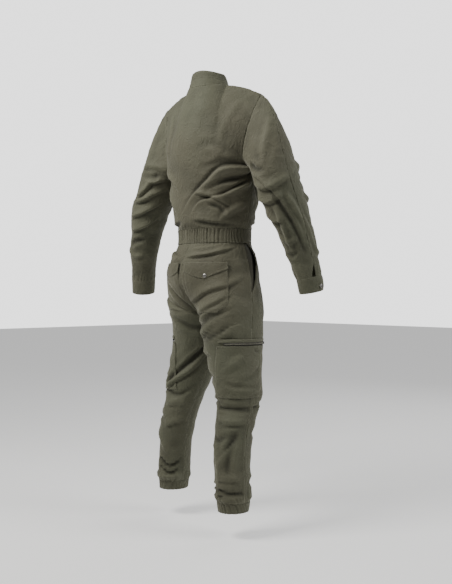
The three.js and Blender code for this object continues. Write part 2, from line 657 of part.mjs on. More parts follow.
/** Hem band of one leg, gathered by its elastic. */
function hemBand(side) {
  const grid = [0, 0.5, 1].map((share) =>
    steps(2 * HEM_GATHERS - 1).map((j) => {
      const turn = j / HEM_GATHERS;
      const z = lerp(HEM[side].foot, HEM[side].top - 2 * SEAM, share);
      const point = legRing(side, turn, z);
      const row = sectionAt(LEGS[side], z);
      const normal = point.clone().sub(vec(side * row.x, row.y, z)).normalize();
      return { point, normal, raise: j % 2 === 0 ? GATHER : -GATHER };
    }),
  );
  return clothWall(`hem_band_${SIDE_NAME[side]}`, grid, { wall: BAND, closed: true });
}

// ---- Trousers and their pockets ------------------------------------------------------------------------

// The seat pocket starts this far from the centre seam and ends at these turns at its top and foot.
// The thigh pocket reaches behind the side seam, more at its foot, and its zip is a little shorter.
const SEAT_POCKET = { inner: 16, outerTop: 0.65, outerFoot: 0.74 };
const THIGH_POCKET = { behind: 116, behindFoot: 140, ahead: 96, zipBehind: 94, zip: 552, foot: 376 };
const FLY_FACING = 0.06;
const FLY_SHARE = 0.62; // the zip ends this far above the crotch, as a share of the curved seam
const FLAP_LIFT = 2 * (LIFT + CLOTH) + 1.3;
const POCKET_WALL = 2; // the thigh pocket is lined
const SNAP = { radius: 7, height: 3.2 };
const ZIP_BAND = { top: 0.02, foot: 0.2, pocketTop: 0.24 }; // shares of the thigh pocket's first row

// Rows of the trousers by height; the pockets start and end on rows.
const TROUSER_ROWS = [
  0, 0.33, 0.62, 0.9, 1.1, 1.28, 1.45, 1.6, 1.75, 1.88, 2,
  ...[596, THIGH_POCKET.zip, 512, 472, 430, THIGH_POCKET.foot, 360, 336, 312, 275, 230, 185, 140, 100, 78, 64]
    .map((z) => 3 - z / CROTCH),
];
const FLAP_ROW = 3;
const FLAP_FOOT_ROW = 6;
const SEAT_FOOT_ROW = 9;
const THIGH_TOP_ROW = 12;
const THIGH_FOOT_ROW = 16;
const BACK_COLUMNS = { inner: 1, outer: 8, side: 11 };
const FRONT_COLUMNS = { pocket: 3, middle: 10 };
const SLASH = { foot: 1.52, bow: 0.17, start: 0.1 };

const heartOfTrousers = (side, v) => {
  if (v < 1.6) return vec(0, 0, lerp(WAISTBAND_FOOT, HIP, Math.min(v, 1)) + 20);
  const z = v < 2 ? CROTCH : lerp(CROTCH, 0, v - 2);
  const row = sectionAt(LEGS[side], z);
  return vec(side * row.x, row.y, z + (v < 2 ? 40 : 0));
};

/** One place on the trousers, with its folds. */
function trouserPlace(side, turn, v, range) {
  const surface = (a, b) => trouserPoint(side, a, b);
  const point = surface(turn, v);
  const normal = normalOf(surface, turn, v, heartOfTrousers(side, v), range);
  const onCentreSeam = (turn === 0 || turn > 1.9) && v < 2;
  if (onCentreSeam) normal.setX(0).normalize();
  if (onCentreSeam && point.x * side < 1) point.x = 0;
  if (turn === 0 || turn === 2) return { point, normal };
  const free = Math.min(1, 8 * v, 8 * (3 - HEM[side].top / CROTCH - v));
  const raise = foldDepth(FOLDS.leg, side, turn, v, surface) * free;
  return { point: point.addScaledVector(normal, turn === 1 ? 0 : raise), normal };
}

/** Length round half a leg or half the hips at one row. */
function halfGirth(side, v) {
  const points = steps(12).map((j) => trouserPoint(side, j / 12, v));
  return points.slice(1).reduce((sum, point, j) => sum + point.distanceTo(points[j]), 0);
}

/** Turns of the back panel's columns: two of them follow the edges of the pockets. */
function backTurns(side, v) {
  const girth = halfGirth(side, v);
  const share = smooth((v - 1.8) / 0.33);
  const down = (from, to) => {
    const [start, end] = [TROUSER_ROWS[from], TROUSER_ROWS[to]];
    return THREE.MathUtils.clamp((v - start) / (end - start), 0, 1);
  };
  const behind = lerp(THIGH_POCKET.behind, THIGH_POCKET.behindFoot, down(THIGH_TOP_ROW, THIGH_FOOT_ROW));
  const onThigh = 1 - behind / girth;
  const onSeat = lerp(SEAT_POCKET.outerTop, SEAT_POCKET.outerFoot, down(FLAP_ROW, SEAT_FOOT_ROW));
  const inner = lerp(SEAT_POCKET.inner, 0.12 * girth, share) / girth;
  const outer = lerp(onSeat, onThigh, share);
  const spread = (from, to, count) => steps(count).map((j) => lerp(from, to, j / count));
  return [
    0,
    ...spread(inner, outer, BACK_COLUMNS.outer - BACK_COLUMNS.inner),
    ...spread(outer, 1, BACK_COLUMNS.side - BACK_COLUMNS.outer).slice(1),
  ];
}

/** The edge of the slashed pocket, as a turn past the side seam. */
function slashTurn(v) {
  const t = THREE.MathUtils.clamp(v / SLASH.foot, 0, 1);
  return SLASH.start * (1 - t) + SLASH.bow * Math.sin(Math.PI * t ** 0.9);
}

/** Turns of the front panel's columns; its first edge follows the slash above the side seam. */
function frontTurns(side, v) {
  const start = 1 + slashTurn(v);
  const ahead = start + (THIGH_POCKET.ahead / halfGirth(side, Math.max(v, 2)));
  const end = v < 2 - FLY_SHARE ? 2 - FLY_TURN : 2;
  const spread = (from, to, count) => steps(count).map((j) => lerp(from, to, j / count));
  return [
    ...spread(start, ahead, FRONT_COLUMNS.pocket),
    ...spread(ahead, end - FLY_FACING, FRONT_COLUMNS.middle - FRONT_COLUMNS.pocket).slice(1),
    end,
  ];
}

/** The cloth panels of one trouser leg, and the pieces that lie on them. */
function trouserLeg(side) {
  const name = SIDE_NAME[side];
  const backRange = { u: [0, 1.02], v: [0, 3] };
  const frontRange = { u: [0.98, 2], v: [0, 3] };
  const rows = [...TROUSER_ROWS, 3 - HEM[side].top / CROTCH];
  const back = gridOf(rows, (v) => backTurns(side, v), (u, v) => trouserPlace(side, u, v, backRange));
  const front = gridOf(rows, (v) => frontTurns(side, v), (u, v) => {
    const place = trouserPlace(side, u, v, frontRange);
    const atSlash = u - 1 - slashTurn(v) < 1e-6 && v < SLASH.foot;
    return { ...place, raise: atSlash ? 5 * Math.sin((Math.PI * v) / SLASH.foot) : 0 };
  });
  for (const i of rows.keys()) {
    if (rows[i] < SLASH.foot) continue;
    const seam = back[i].at(-1);
    front[i][0] = { point: seam.point.clone(), normal: seam.normal.clone() };
  }
  return [
    clothWall(`trouser_back_${name}`, trimmed(back)),
    clothWall(`trouser_front_${name}`, trimmed(front)),
    pocketFacing(side),
    ...seatPocket(side, back),
    ...thighPocket(side, back, front),
  ];
}

/** Facing of the slashed pocket: it carries on from the side seam and passes under the front's edge. */
function pocketFacing(side) {
  const rows = TROUSER_ROWS.filter((v) => v < SLASH.foot);
  const range = { u: [0.98, 2], v: [0, 3] };
  const turnsAt = (v) => steps(4).map((j) => lerp(1, 1.06 + slashTurn(v), j / 4));
  const grid = gridOf(rows, turnsAt, (u, v) => {
    const surface = (a, b) => trouserPoint(side, a, b);
    const point = surface(u, v);
    const normal = normalOf(surface, u, v, heartOfTrousers(side, v), range);
    return { point, normal, raise: -3.4 * smooth((u - 1) / Math.max(slashTurn(v), 0.03)) };
  });
  return clothWall(`pocket_facing_${SIDE_NAME[side]}`, trimmed(grid, { rows: 2 }), { finish: TWILL_DARK });
}

/** Part of a grid of places: rows and columns from and to, both ends included. */
const partOf = (grid, rows, columns) =>
  grid.slice(rows[0], rows[1] + 1).map((row) => row.slice(columns[0], columns[1] + 1));

/** Seat patch pocket with its pointed flap and snap. */
function seatPocket(side, back) {
  const name = SIDE_NAME[side];
  const columns = [BACK_COLUMNS.inner, BACK_COLUMNS.outer];
  const patch = partOf(back, [FLAP_ROW, SEAT_FOOT_ROW], columns);
  const pocket = clothWall(`seat_pocket_${name}`, patch, { wall: CLOTH, lift: LIFT + CLOTH });
  const cover = partOf(back, [FLAP_ROW, FLAP_FOOT_ROW], columns);
  const width = cover[0].length - 1;
  const flapGrid = [cover[0], cover[1], cover[0].map((_, j) => {
    const point = 1 - Math.abs(2 * (j / width) - 1);
    return between(cover[1][j], cover[2][j], 0.35 + 0.6 * point);
  })];
  const flap = clothWall(`seat_flap_${name}`, flapGrid, { wall: CLOTH, lift: FLAP_LIFT });
  const middle = between(cover[1][Math.floor(width / 2)], cover[1][Math.ceil(width / 2)], 0.5);
  const lower = between(cover[2][Math.floor(width / 2)], cover[2][Math.ceil(width / 2)], 0.5);
  return [pocket, flap, snapOn(`seat_snap_${name}`, between(middle, lower, 0.35), FLAP_LIFT + LIFT + 0.4)];
}

/** The place part of the way from one place to another. */
function between(a, b, share) {
  return {
    point: a.point.clone().lerp(b.point, share),
    normal: a.normal.clone().lerp(b.normal, share).normalize(),
  };
}

/** Snap cap: a low dome that stands on a place, its back the given height above it. */
function snapOn(name, place, height) {
  const arc = steps(6).map((k) => (k / 6) * QUARTER);
  const rim = 1;
  const dome = arc.map((a) => new THREE.Vector2(SNAP.radius * Math.cos(a), rim + (SNAP.height - rim) * Math.sin(a)));
  const profile = [new THREE.Vector2(0, 0), new THREE.Vector2(SNAP.radius, 0), ...dome];
  profile.at(-1).setX(0);
  const geometry = new THREE.LatheGeometry(profile, 16);
  const mesh = namedMesh(name, geometry, NICKEL);
  mesh.quaternion.setFromUnitVectors(vec(0, 1, 0), place.normal);
  mesh.position.copy(place.point).addScaledVector(place.normal, height);
  return mesh;
}

/** Thigh patch pocket across the side seam, with a zip along its top edge. */
function thighPocket(side, back, front) {
  const name = SIDE_NAME[side];
  const behind = partOf(back, [THIGH_TOP_ROW, THIGH_FOOT_ROW], [BACK_COLUMNS.outer, BACK_COLUMNS.side]);
  const ahead = partOf(front, [THIGH_TOP_ROW, THIGH_FOOT_ROW], [1, FRONT_COLUMNS.pocket]);
  const patch = behind.map((row, i) => [...row, ...ahead[i]]);
  const across = (share) => patch[0].map((place, j) => between(place, patch[1][j], share));
  const zipStart = (THIGH_POCKET.behind - THIGH_POCKET.zipBehind) / (THIGH_POCKET.behind / (BACK_COLUMNS.side - BACK_COLUMNS.outer));
  const cloth = [across(ZIP_BAND.pocketTop), ...patch.slice(1)];
  const pocket = clothWall(`thigh_pocket_${name}`, cloth, { lift: LIFT + 2 * CLOTH, wall: POCKET_WALL });
  const zipEnds = [ZIP_BAND.top, ZIP_BAND.foot].map((share) => {
    const row = across(share);
    return [between(row[0], row[1], zipStart), ...row.slice(1)];
  });
  const zip = clothWall(`thigh_zip_${name}`, zipEnds, { lift: LIFT + CLOTH, wall: CLOTH, finish: TAPE });
  const [before, place] = across((ZIP_BAND.top + ZIP_BAND.foot) / 2).slice(-2);
  const stop = between(before, place, 0.82);
  const along = place.point.clone().sub(before.point).normalize();
  return [pocket, zip, ...sliderAndTab(`thigh_zip_${name}`, stop, along, LIFT + CLOTH + 0.8)];
}

// ---- Front zip -----------------------------------------------------------------------------------------

const TAPE_TURNS = [0.001, 0.035, 0.07];
const TAPE_INSET = BAND + LIFT + 1.1;
const SLIDER_SHARE = 0.7; // height of the closed slider on the collar

/** A place on the collar's line at the front, part of the way up. */
function collarFront(side, u, share) {
  const point = twisted(topLine(side, u, false));
  const middle = twisted(vec(0, NECK.midY, ORIGIN_HEIGHT));
  const normal = point.clone().sub(middle).setZ(0).normalize();
  const height = collarHeight(u, false);
  point.z += 2 * SEAM + share * height;
  return { point: point.addScaledVector(normal, -COLLAR.lean * share), normal };
}

/** Zip tape of one side: it runs behind the front edges from the fly to the top of the collar. */
function frontTape(side) {
  const range = { u: [0.98, 2], v: [0, 3] };
  const legRows = TROUSER_ROWS.filter((v) => v < 1.5).reverse();
  const fromTrousers = (v) => TAPE_TURNS.map((u) => trouserPlace(side, 2 - u, v, range));
  const fromBand = TAPE_TURNS.map((u) => waistPlace(side, (2 - u) * QUARTER, (WAISTBAND_FOOT + WAISTBAND_TOP) / 2));
  const fromBodice = (v) => TAPE_TURNS.map((u) => bodicePlace(side, u, v, false));
  const fromCollar = (share) => TAPE_TURNS.map((u) => collarFront(side, u, share));
  const grid = [
    ...legRows.map(fromTrousers),
    fromBand,
    ...BODICE_ROWS.slice(0, -1).map(fromBodice),
    ...[0.04, 0.33, 0.66, 0.97].map(fromCollar),
  ];
  return clothWall(`front_zip_tape_${SIDE_NAME[side]}`, trimmed(grid), { wall: 1, lift: -TAPE_INSET, finish: TAPE });
}

const SLIDER = { width: 9, length: 12, thick: 4, earWidth: 1.4, earHeight: 3, earLength: 4 };
const TAB = { width: 4.4, length: 19, thick: 1.4, eye: 1.1, side: 0.35, clear: 0.4 };

/** Joins closed geometries into one body. */
function joined(geometries) {
  const bodies = geometries.map((source) => {
    const bare = source.clone().deleteAttribute('normal').deleteAttribute('uv');
    const merged = mergeVertices(bare, 1e-4);
    const mesh = new wasm.Mesh({
      numProp: 3,
      vertProperties: new Float32Array(merged.attributes.position.array),
      triVerts: new Uint32Array(merged.index.array),
    });
    return new wasm.Manifold(mesh);
  });
  const mesh = bodies.reduce((sum, body) => sum.add(body)).getMesh();
  const geometry = new THREE.BufferGeometry();
  geometry.setAttribute('position', new THREE.BufferAttribute(mesh.vertProperties, 3));
  geometry.setIndex(new THREE.BufferAttribute(mesh.triVerts, 1));
  return geometry;
}

/** A box between two corners. */
function block(x, y, z, centre) {
  return new THREE.BoxGeometry(x, y, z).translate(...centre);
}

/**
 * Zip slider with its pull tab. In its own axes X runs across the zip, Y along it to the closed end's
 * stop and Z out of the cloth; the tab turns about X between the two ears, and lies on the slider.
 */
function sliderAndTab(name, place, along, height) {
  const ear = (sign) =>
    block(SLIDER.earWidth, SLIDER.earLength, SLIDER.thick / 2 + SLIDER.earHeight, [
      sign * (TAB.width / 2 + TAB.side + SLIDER.earWidth / 2),
      SLIDER.length / 4,
      SLIDER.thick / 2 + (SLIDER.thick / 2 + SLIDER.earHeight) / 2,
    ]);
  const body = block(SLIDER.width, SLIDER.length, SLIDER.thick, [0, 0, SLIDER.thick / 2]);
  const slider = namedMesh(`${name}_slider`, joined([body, ear(-1), ear(1)]), GUNMETAL);
  const hinge = [0, SLIDER.length / 4, SLIDER.thick + TAB.clear + TAB.eye];
  const eye = new THREE.CylinderGeometry(TAB.eye, TAB.eye, TAB.width, 16)
    .rotateZ(QUARTER)
    .translate(...hinge);
  const plate = block(TAB.width, TAB.length, TAB.thick, [0, hinge[1] - TAB.length / 2, hinge[2]]);
  const tab = namedMesh(`${name}_pull_tab`, joined([eye, plate]), GUNMETAL);
  const out = place.normal.clone().addScaledVector(along, -place.normal.dot(along)).normalize();
  const across = along.clone().cross(out);
  const turn = new THREE.Quaternion().setFromRotationMatrix(new THREE.Matrix4().makeBasis(across, along, out));
  return [slider, tab].map((mesh) => {
    mesh.quaternion.copy(turn);
    mesh.position.copy(place.point).addScaledVector(out, height);
    return mesh;
  });
}

/** Slider of the front zip, closed at the top of the collar. */
function frontSlider() {
  const [low, place, high] = [SLIDER_SHARE - 0.1, SLIDER_SHARE, SLIDER_SHARE + 0.1].map((share) => {
    const sides = [RIGHT, LEFT].map((side) => collarFront(side, 0, share));
    return between(...sides, 0.5);
  });
  const along = high.point.clone().sub(low.point).normalize();
  return sliderAndTab('front_zip', place, along, LIFT - TAPE_INSET);
}

// ---- The whole suit ------------------------------------------------------------------------------------

const suit = new THREE.Group();
suit.add(backBodice(), collar(), ...waistbands(), ...frontSlider());
for (const side of [RIGHT, LEFT]) {
  suit.add(frontBodice(side), ...sleeve(side), ...cuff(side), hemBand(side), ...trouserLeg(side), frontTape(side));
}
suit.position.set(0, 0, -ORIGIN_HEIGHT);

export default suit;
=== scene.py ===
"""Motorcycle suit: the finish of a one-piece riding coverall in olive cotton twill.

The suit is filled out as it is worn, with nobody in it. Sizes are in millimetres and heights are
taken above the trouser hems; meshes are made in metres about the collar seam, as in the frame.
"""
import logging
import math
from dataclasses import dataclass, field
from enum import Enum
from typing import Callable

import bmesh
import bpy
import numpy as np
from mathutils import Matrix, Vector


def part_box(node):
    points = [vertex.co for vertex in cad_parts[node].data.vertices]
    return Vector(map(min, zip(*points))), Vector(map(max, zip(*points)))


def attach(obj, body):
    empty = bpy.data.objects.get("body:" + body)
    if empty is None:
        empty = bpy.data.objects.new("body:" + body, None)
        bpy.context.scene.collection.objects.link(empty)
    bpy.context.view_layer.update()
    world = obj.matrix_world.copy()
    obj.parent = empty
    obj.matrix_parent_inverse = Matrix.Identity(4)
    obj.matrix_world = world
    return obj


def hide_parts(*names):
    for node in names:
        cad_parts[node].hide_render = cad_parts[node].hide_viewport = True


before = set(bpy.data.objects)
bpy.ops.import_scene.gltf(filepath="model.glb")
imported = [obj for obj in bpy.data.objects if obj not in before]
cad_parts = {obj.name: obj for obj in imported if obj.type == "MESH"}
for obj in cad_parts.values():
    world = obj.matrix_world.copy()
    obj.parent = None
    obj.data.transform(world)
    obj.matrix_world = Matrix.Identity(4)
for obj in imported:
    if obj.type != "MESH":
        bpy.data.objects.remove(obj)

LOG = logging.getLogger("motorcycle_suit")
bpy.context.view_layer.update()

MM = 0.001
ORIGIN_HEIGHT = 1398.0
WAISTBAND_TOP = 925.0
WAISTBAND_FOOT = 877.0
HIP = 800.0
CROTCH = 636.0
ARMPIT = 1122.0
HEM_DEPTH = 31.0
CUFF_TOP = 1.87
QUARTER = math.pi / 2.0
TWIST = math.radians(8.0)
TWIST_FROM = 860.0
TWIST_TO = 1120.0
NECK_SHARE = 0.5
SLASH_FOOT = 1.52
SLIT_TURN = 0.88
FRONT_SEAM_TURN = 1.62
FLY_TURN = 0.03
FLY_ROW = 1.38
FOLD_DEPTH = 1.35  # how far all folds are drawn in, over the depths in their tables
FOLD_WIDTH = 0.88


class Side(Enum):
    """The wearer's side; the value is the sign of X there."""

    RIGHT = -1.0
    LEFT = 1.0

    @property
    def word(self) -> str:
        """The side's name as it stands in a node's name."""
        return self.name.lower()


class Fold(Enum):
    """How the cloth bends across a crease."""

    TROUGH = "trough"
    RIDGE = "ridge"
    LAP = "lap"


# ---------------------------------------------------------------------------------------------------
# Sizes of the body of the suit
# ---------------------------------------------------------------------------------------------------


@dataclass(frozen=True)
class Sections:
    """Sizes of a form at several heights, read on a smooth curve through the rows."""

    columns: tuple[str, ...]
    rows: tuple[tuple[float, ...], ...]

    def at(self, name: str, z: np.ndarray) -> np.ndarray:
        """Read one column.

        Args:
            name: The column's name.
            z: Heights to read it at.

        Returns:
            The column's value at each height.
        """
        table = np.array(sorted(self.rows))
        heights = table[:, 0]
        values = table[:, self.columns.index(name)]
        k = np.clip(np.searchsorted(heights, z, side="right") - 1, 0, len(heights) - 2)
        before = np.maximum(k - 1, 0)
        after = np.minimum(k + 2, len(heights) - 1)
        span = heights[k + 1] - heights[k]
        t = (z - heights[k]) / span
        slope_low = (values[k + 1] - values[before]) / (heights[k + 1] - heights[before]) * span
        slope_high = (values[after] - values[k]) / (heights[after] - heights[k]) * span
        return hermite(values[k], slope_low, values[k + 1], slope_high, t)


TRUNK = Sections(
    ("z", "width", "back", "front", "mid_y"),
    (
        (636, 184, 141, 118, 2),
        (700, 182, 148, 122, 2),
        (745, 178, 151, 130, 2),
        (800, 169, 146, 128, 1),
        (850, 153, 128, 118, 0),
        (877, 142, 115, 108, 0),
        (925, 141, 114, 107, 0),
        (948, 149, 127, 114, 0),
        (1000, 157, 126, 120, 1),
        (1060, 163, 123, 124, 3),
        (1122, 172, 124, 126, 6),
        (1200, 180, 124, 122, 10),
        (1290, 186, 117, 108, 14),
        (1400, 178, 98, 84, 18),
    ),
)

LEG_COLUMNS = ("z", "x", "y", "width", "depth")
LEGS = {
    Side.RIGHT: Sections(
        LEG_COLUMNS,
        (
            (636, 99, 14, 98, 119),
            (600, 103, 20, 98, 112),
            (530, 118, 26, 87, 99),
            (460, 132, 30, 79, 88),
            (393, 147, 32, 73, 81),
            (338, 155, 43, 66, 73),
            (257, 165, 68, 61, 66),
            (189, 172, 80, 58, 62),
            (85, 178, 82, 55, 60),
            (34, 181, 83, 49, 54),
            (0, 182, 84, 46, 50),
        ),
    ),
    Side.LEFT: Sections(
        LEG_COLUMNS,
        (
            (636, 97, -17, 95, 114),
            (600, 98, -21, 92, 106),
            (530, 108, -23, 83, 94),
            (460, 123, -14, 78, 86),
            (393, 134, 6, 70, 76),
            (338, 141, 20, 62, 67),
            (257, 160, 32, 58, 62),
            (189, 172, 32, 56, 60),
            (85, 181, 30, 54, 58),
            (34, 184, 31, 48, 53),
            (0, 185, 32, 45, 49),
        ),
    ),
}

ARMS = {
    Side.RIGHT: Sections(
        LEG_COLUMNS,
        (
            (1112, 251, 0, 73, 78),
            (1060, 262, -12, 71, 76),
            (990, 278, -34, 66, 71),
            (926, 289, -61, 58, 62),
            (836, 298, -95, 49, 52),
            (771, 308, -112, 42, 45),
            (716, 312, -123, 39, 42),
        ),
    ),
    Side.LEFT: Sections(
        LEG_COLUMNS,
        (
            (1112, 249, 6, 71, 77),
            (1060, 273, 5, 69, 74),
            (1010, 306, 1, 66, 70),
            (948, 334, -10, 58, 61),
            (865, 362, -24, 50, 53),
            (783, 381, -39, 43, 46),
            (714, 394, -52, 40, 43),
        ),
    ),
}
ARM_TOP = 1112.0
ARM_FOOT = {Side.RIGHT: 716.0, Side.LEFT: 714.0}
HEM_TOP = {Side.RIGHT: 46.0, Side.LEFT: 54.0}


@dataclass(frozen=True)
class NeckLine:
    """The neck, the shoulder point and the collar, before the chest is turned."""

    width: float = 74.0
    back: float = 64.0
    front: float = 74.0
    mid_y: float = 30.0
    back_z: float = 1402.0
    side_z: float = 1408.0
    front_z: float = 1352.0
    shoulder: tuple[float, float, float] = (209.0, 14.0, 1360.0)
    collar_back: float = 55.0
    collar_side: float = 37.0
    collar_front: float = 42.0
    collar_lean: float = 10.0


NECK = NeckLine()


# ---------------------------------------------------------------------------------------------------
# Small helpers on arrays
# ---------------------------------------------------------------------------------------------------


def hermite(
    a: np.ndarray, slope_a: np.ndarray, b: np.ndarray, slope_b: np.ndarray, t: np.ndarray
) -> np.ndarray:
    """Cubic from a to b with the given slopes at its ends."""
    t2, t3 = t * t, t * t * t
    start = a * (2 * t3 - 3 * t2 + 1) + slope_a * (t3 - 2 * t2 + t)
    return start + b * (3 * t2 - 2 * t3) + slope_b * (t3 - t2)


def smooth(value: np.ndarray) -> np.ndarray:
    """Ease from 0 to 1 with level ends."""
    t = np.clip(value, 0.0, 1.0)
    return t * t * (3.0 - 2.0 * t)


def mix(a: np.ndarray, b: np.ndarray, share: np.ndarray) -> np.ndarray:
    """Blend from a to b."""
    return a + (b - a) * share


def stack(x: np.ndarray, y: np.ndarray, z: np.ndarray) -> np.ndarray:
    """Points from three arrays of the same shape."""
    return np.stack(np.broadcast_arrays(x, y, z), axis=-1).astype(float)


def unit(vectors: np.ndarray) -> np.ndarray:
    """Vectors of length one."""
    length = np.linalg.norm(vectors, axis=-1, keepdims=True)
    return vectors / np.maximum(length, 1e-9)


def twisted(points: np.ndarray, share: np.ndarray | float | None = None) -> np.ndarray:
    """Turn points of the chest to the wearer's left, more the higher they are.

    Args:
        points: Points before the turn.
        share: Share of the whole turn; by height where it is not given.

    Returns:
        The turned points.
    """
    if share is None:
        share = smooth((points[..., 2] - TWIST_FROM) / (TWIST_TO - TWIST_FROM))
    angle = TWIST * share
    cos, sin = np.cos(angle), np.sin(angle)
    x, y = points[..., 0], points[..., 1]
    return stack(x * cos - y * sin, x * sin + y * cos, points[..., 2])


def bezier(controls: list[np.ndarray], t: np.ndarray) -> np.ndarray:
    """Points on the cubic with four control points."""
    t = np.asarray(t)[..., None]
    r = 1.0 - t
    return controls[0] * r**3 + 3 * controls[1] * r * r * t + 3 * controls[2] * r * t * t + controls[3] * t**3


class CloudNoise:
    """Smooth seeded noise between -1 and 1 on points in three dimensions."""

    CELLS = 32

    def __init__(self, seed: int) -> None:
        """Fill the lattice of random values."""
        self.lattice = np.random.default_rng(seed).uniform(-1.0, 1.0, (self.CELLS,) * 3)

    def at(self, points: np.ndarray, size: float | tuple[float, float, float]) -> np.ndarray:
        """Read the noise.

        Args:
            points: Points in millimetres.
            size: Length of one swell, the same or one for each axis.

        Returns:
            One value for each point.
        """
        q = points / np.asarray(size)
        cell = np.floor(q).astype(int)
        f = q - cell
        f = f * f * (3.0 - 2.0 * f)
        total = np.zeros(points.shape[:-1])
        for dx in (0, 1):
            for dy in (0, 1):
                for dz in (0, 1):
                    weight = (
                        np.where(dx, f[..., 0], 1 - f[..., 0])
                        * np.where(dy, f[..., 1], 1 - f[..., 1])
                        * np.where(dz, f[..., 2], 1 - f[..., 2])
                    )
                    corner = (cell + (dx, dy, dz)) % self.CELLS
                    value = self.lattice[corner[..., 0], corner[..., 1], corner[..., 2]]
                    total += weight * value
        return total


# ---------------------------------------------------------------------------------------------------
# Surfaces of the suit: each gives points on the outside of the cloth from two arrays of numbers
# ---------------------------------------------------------------------------------------------------


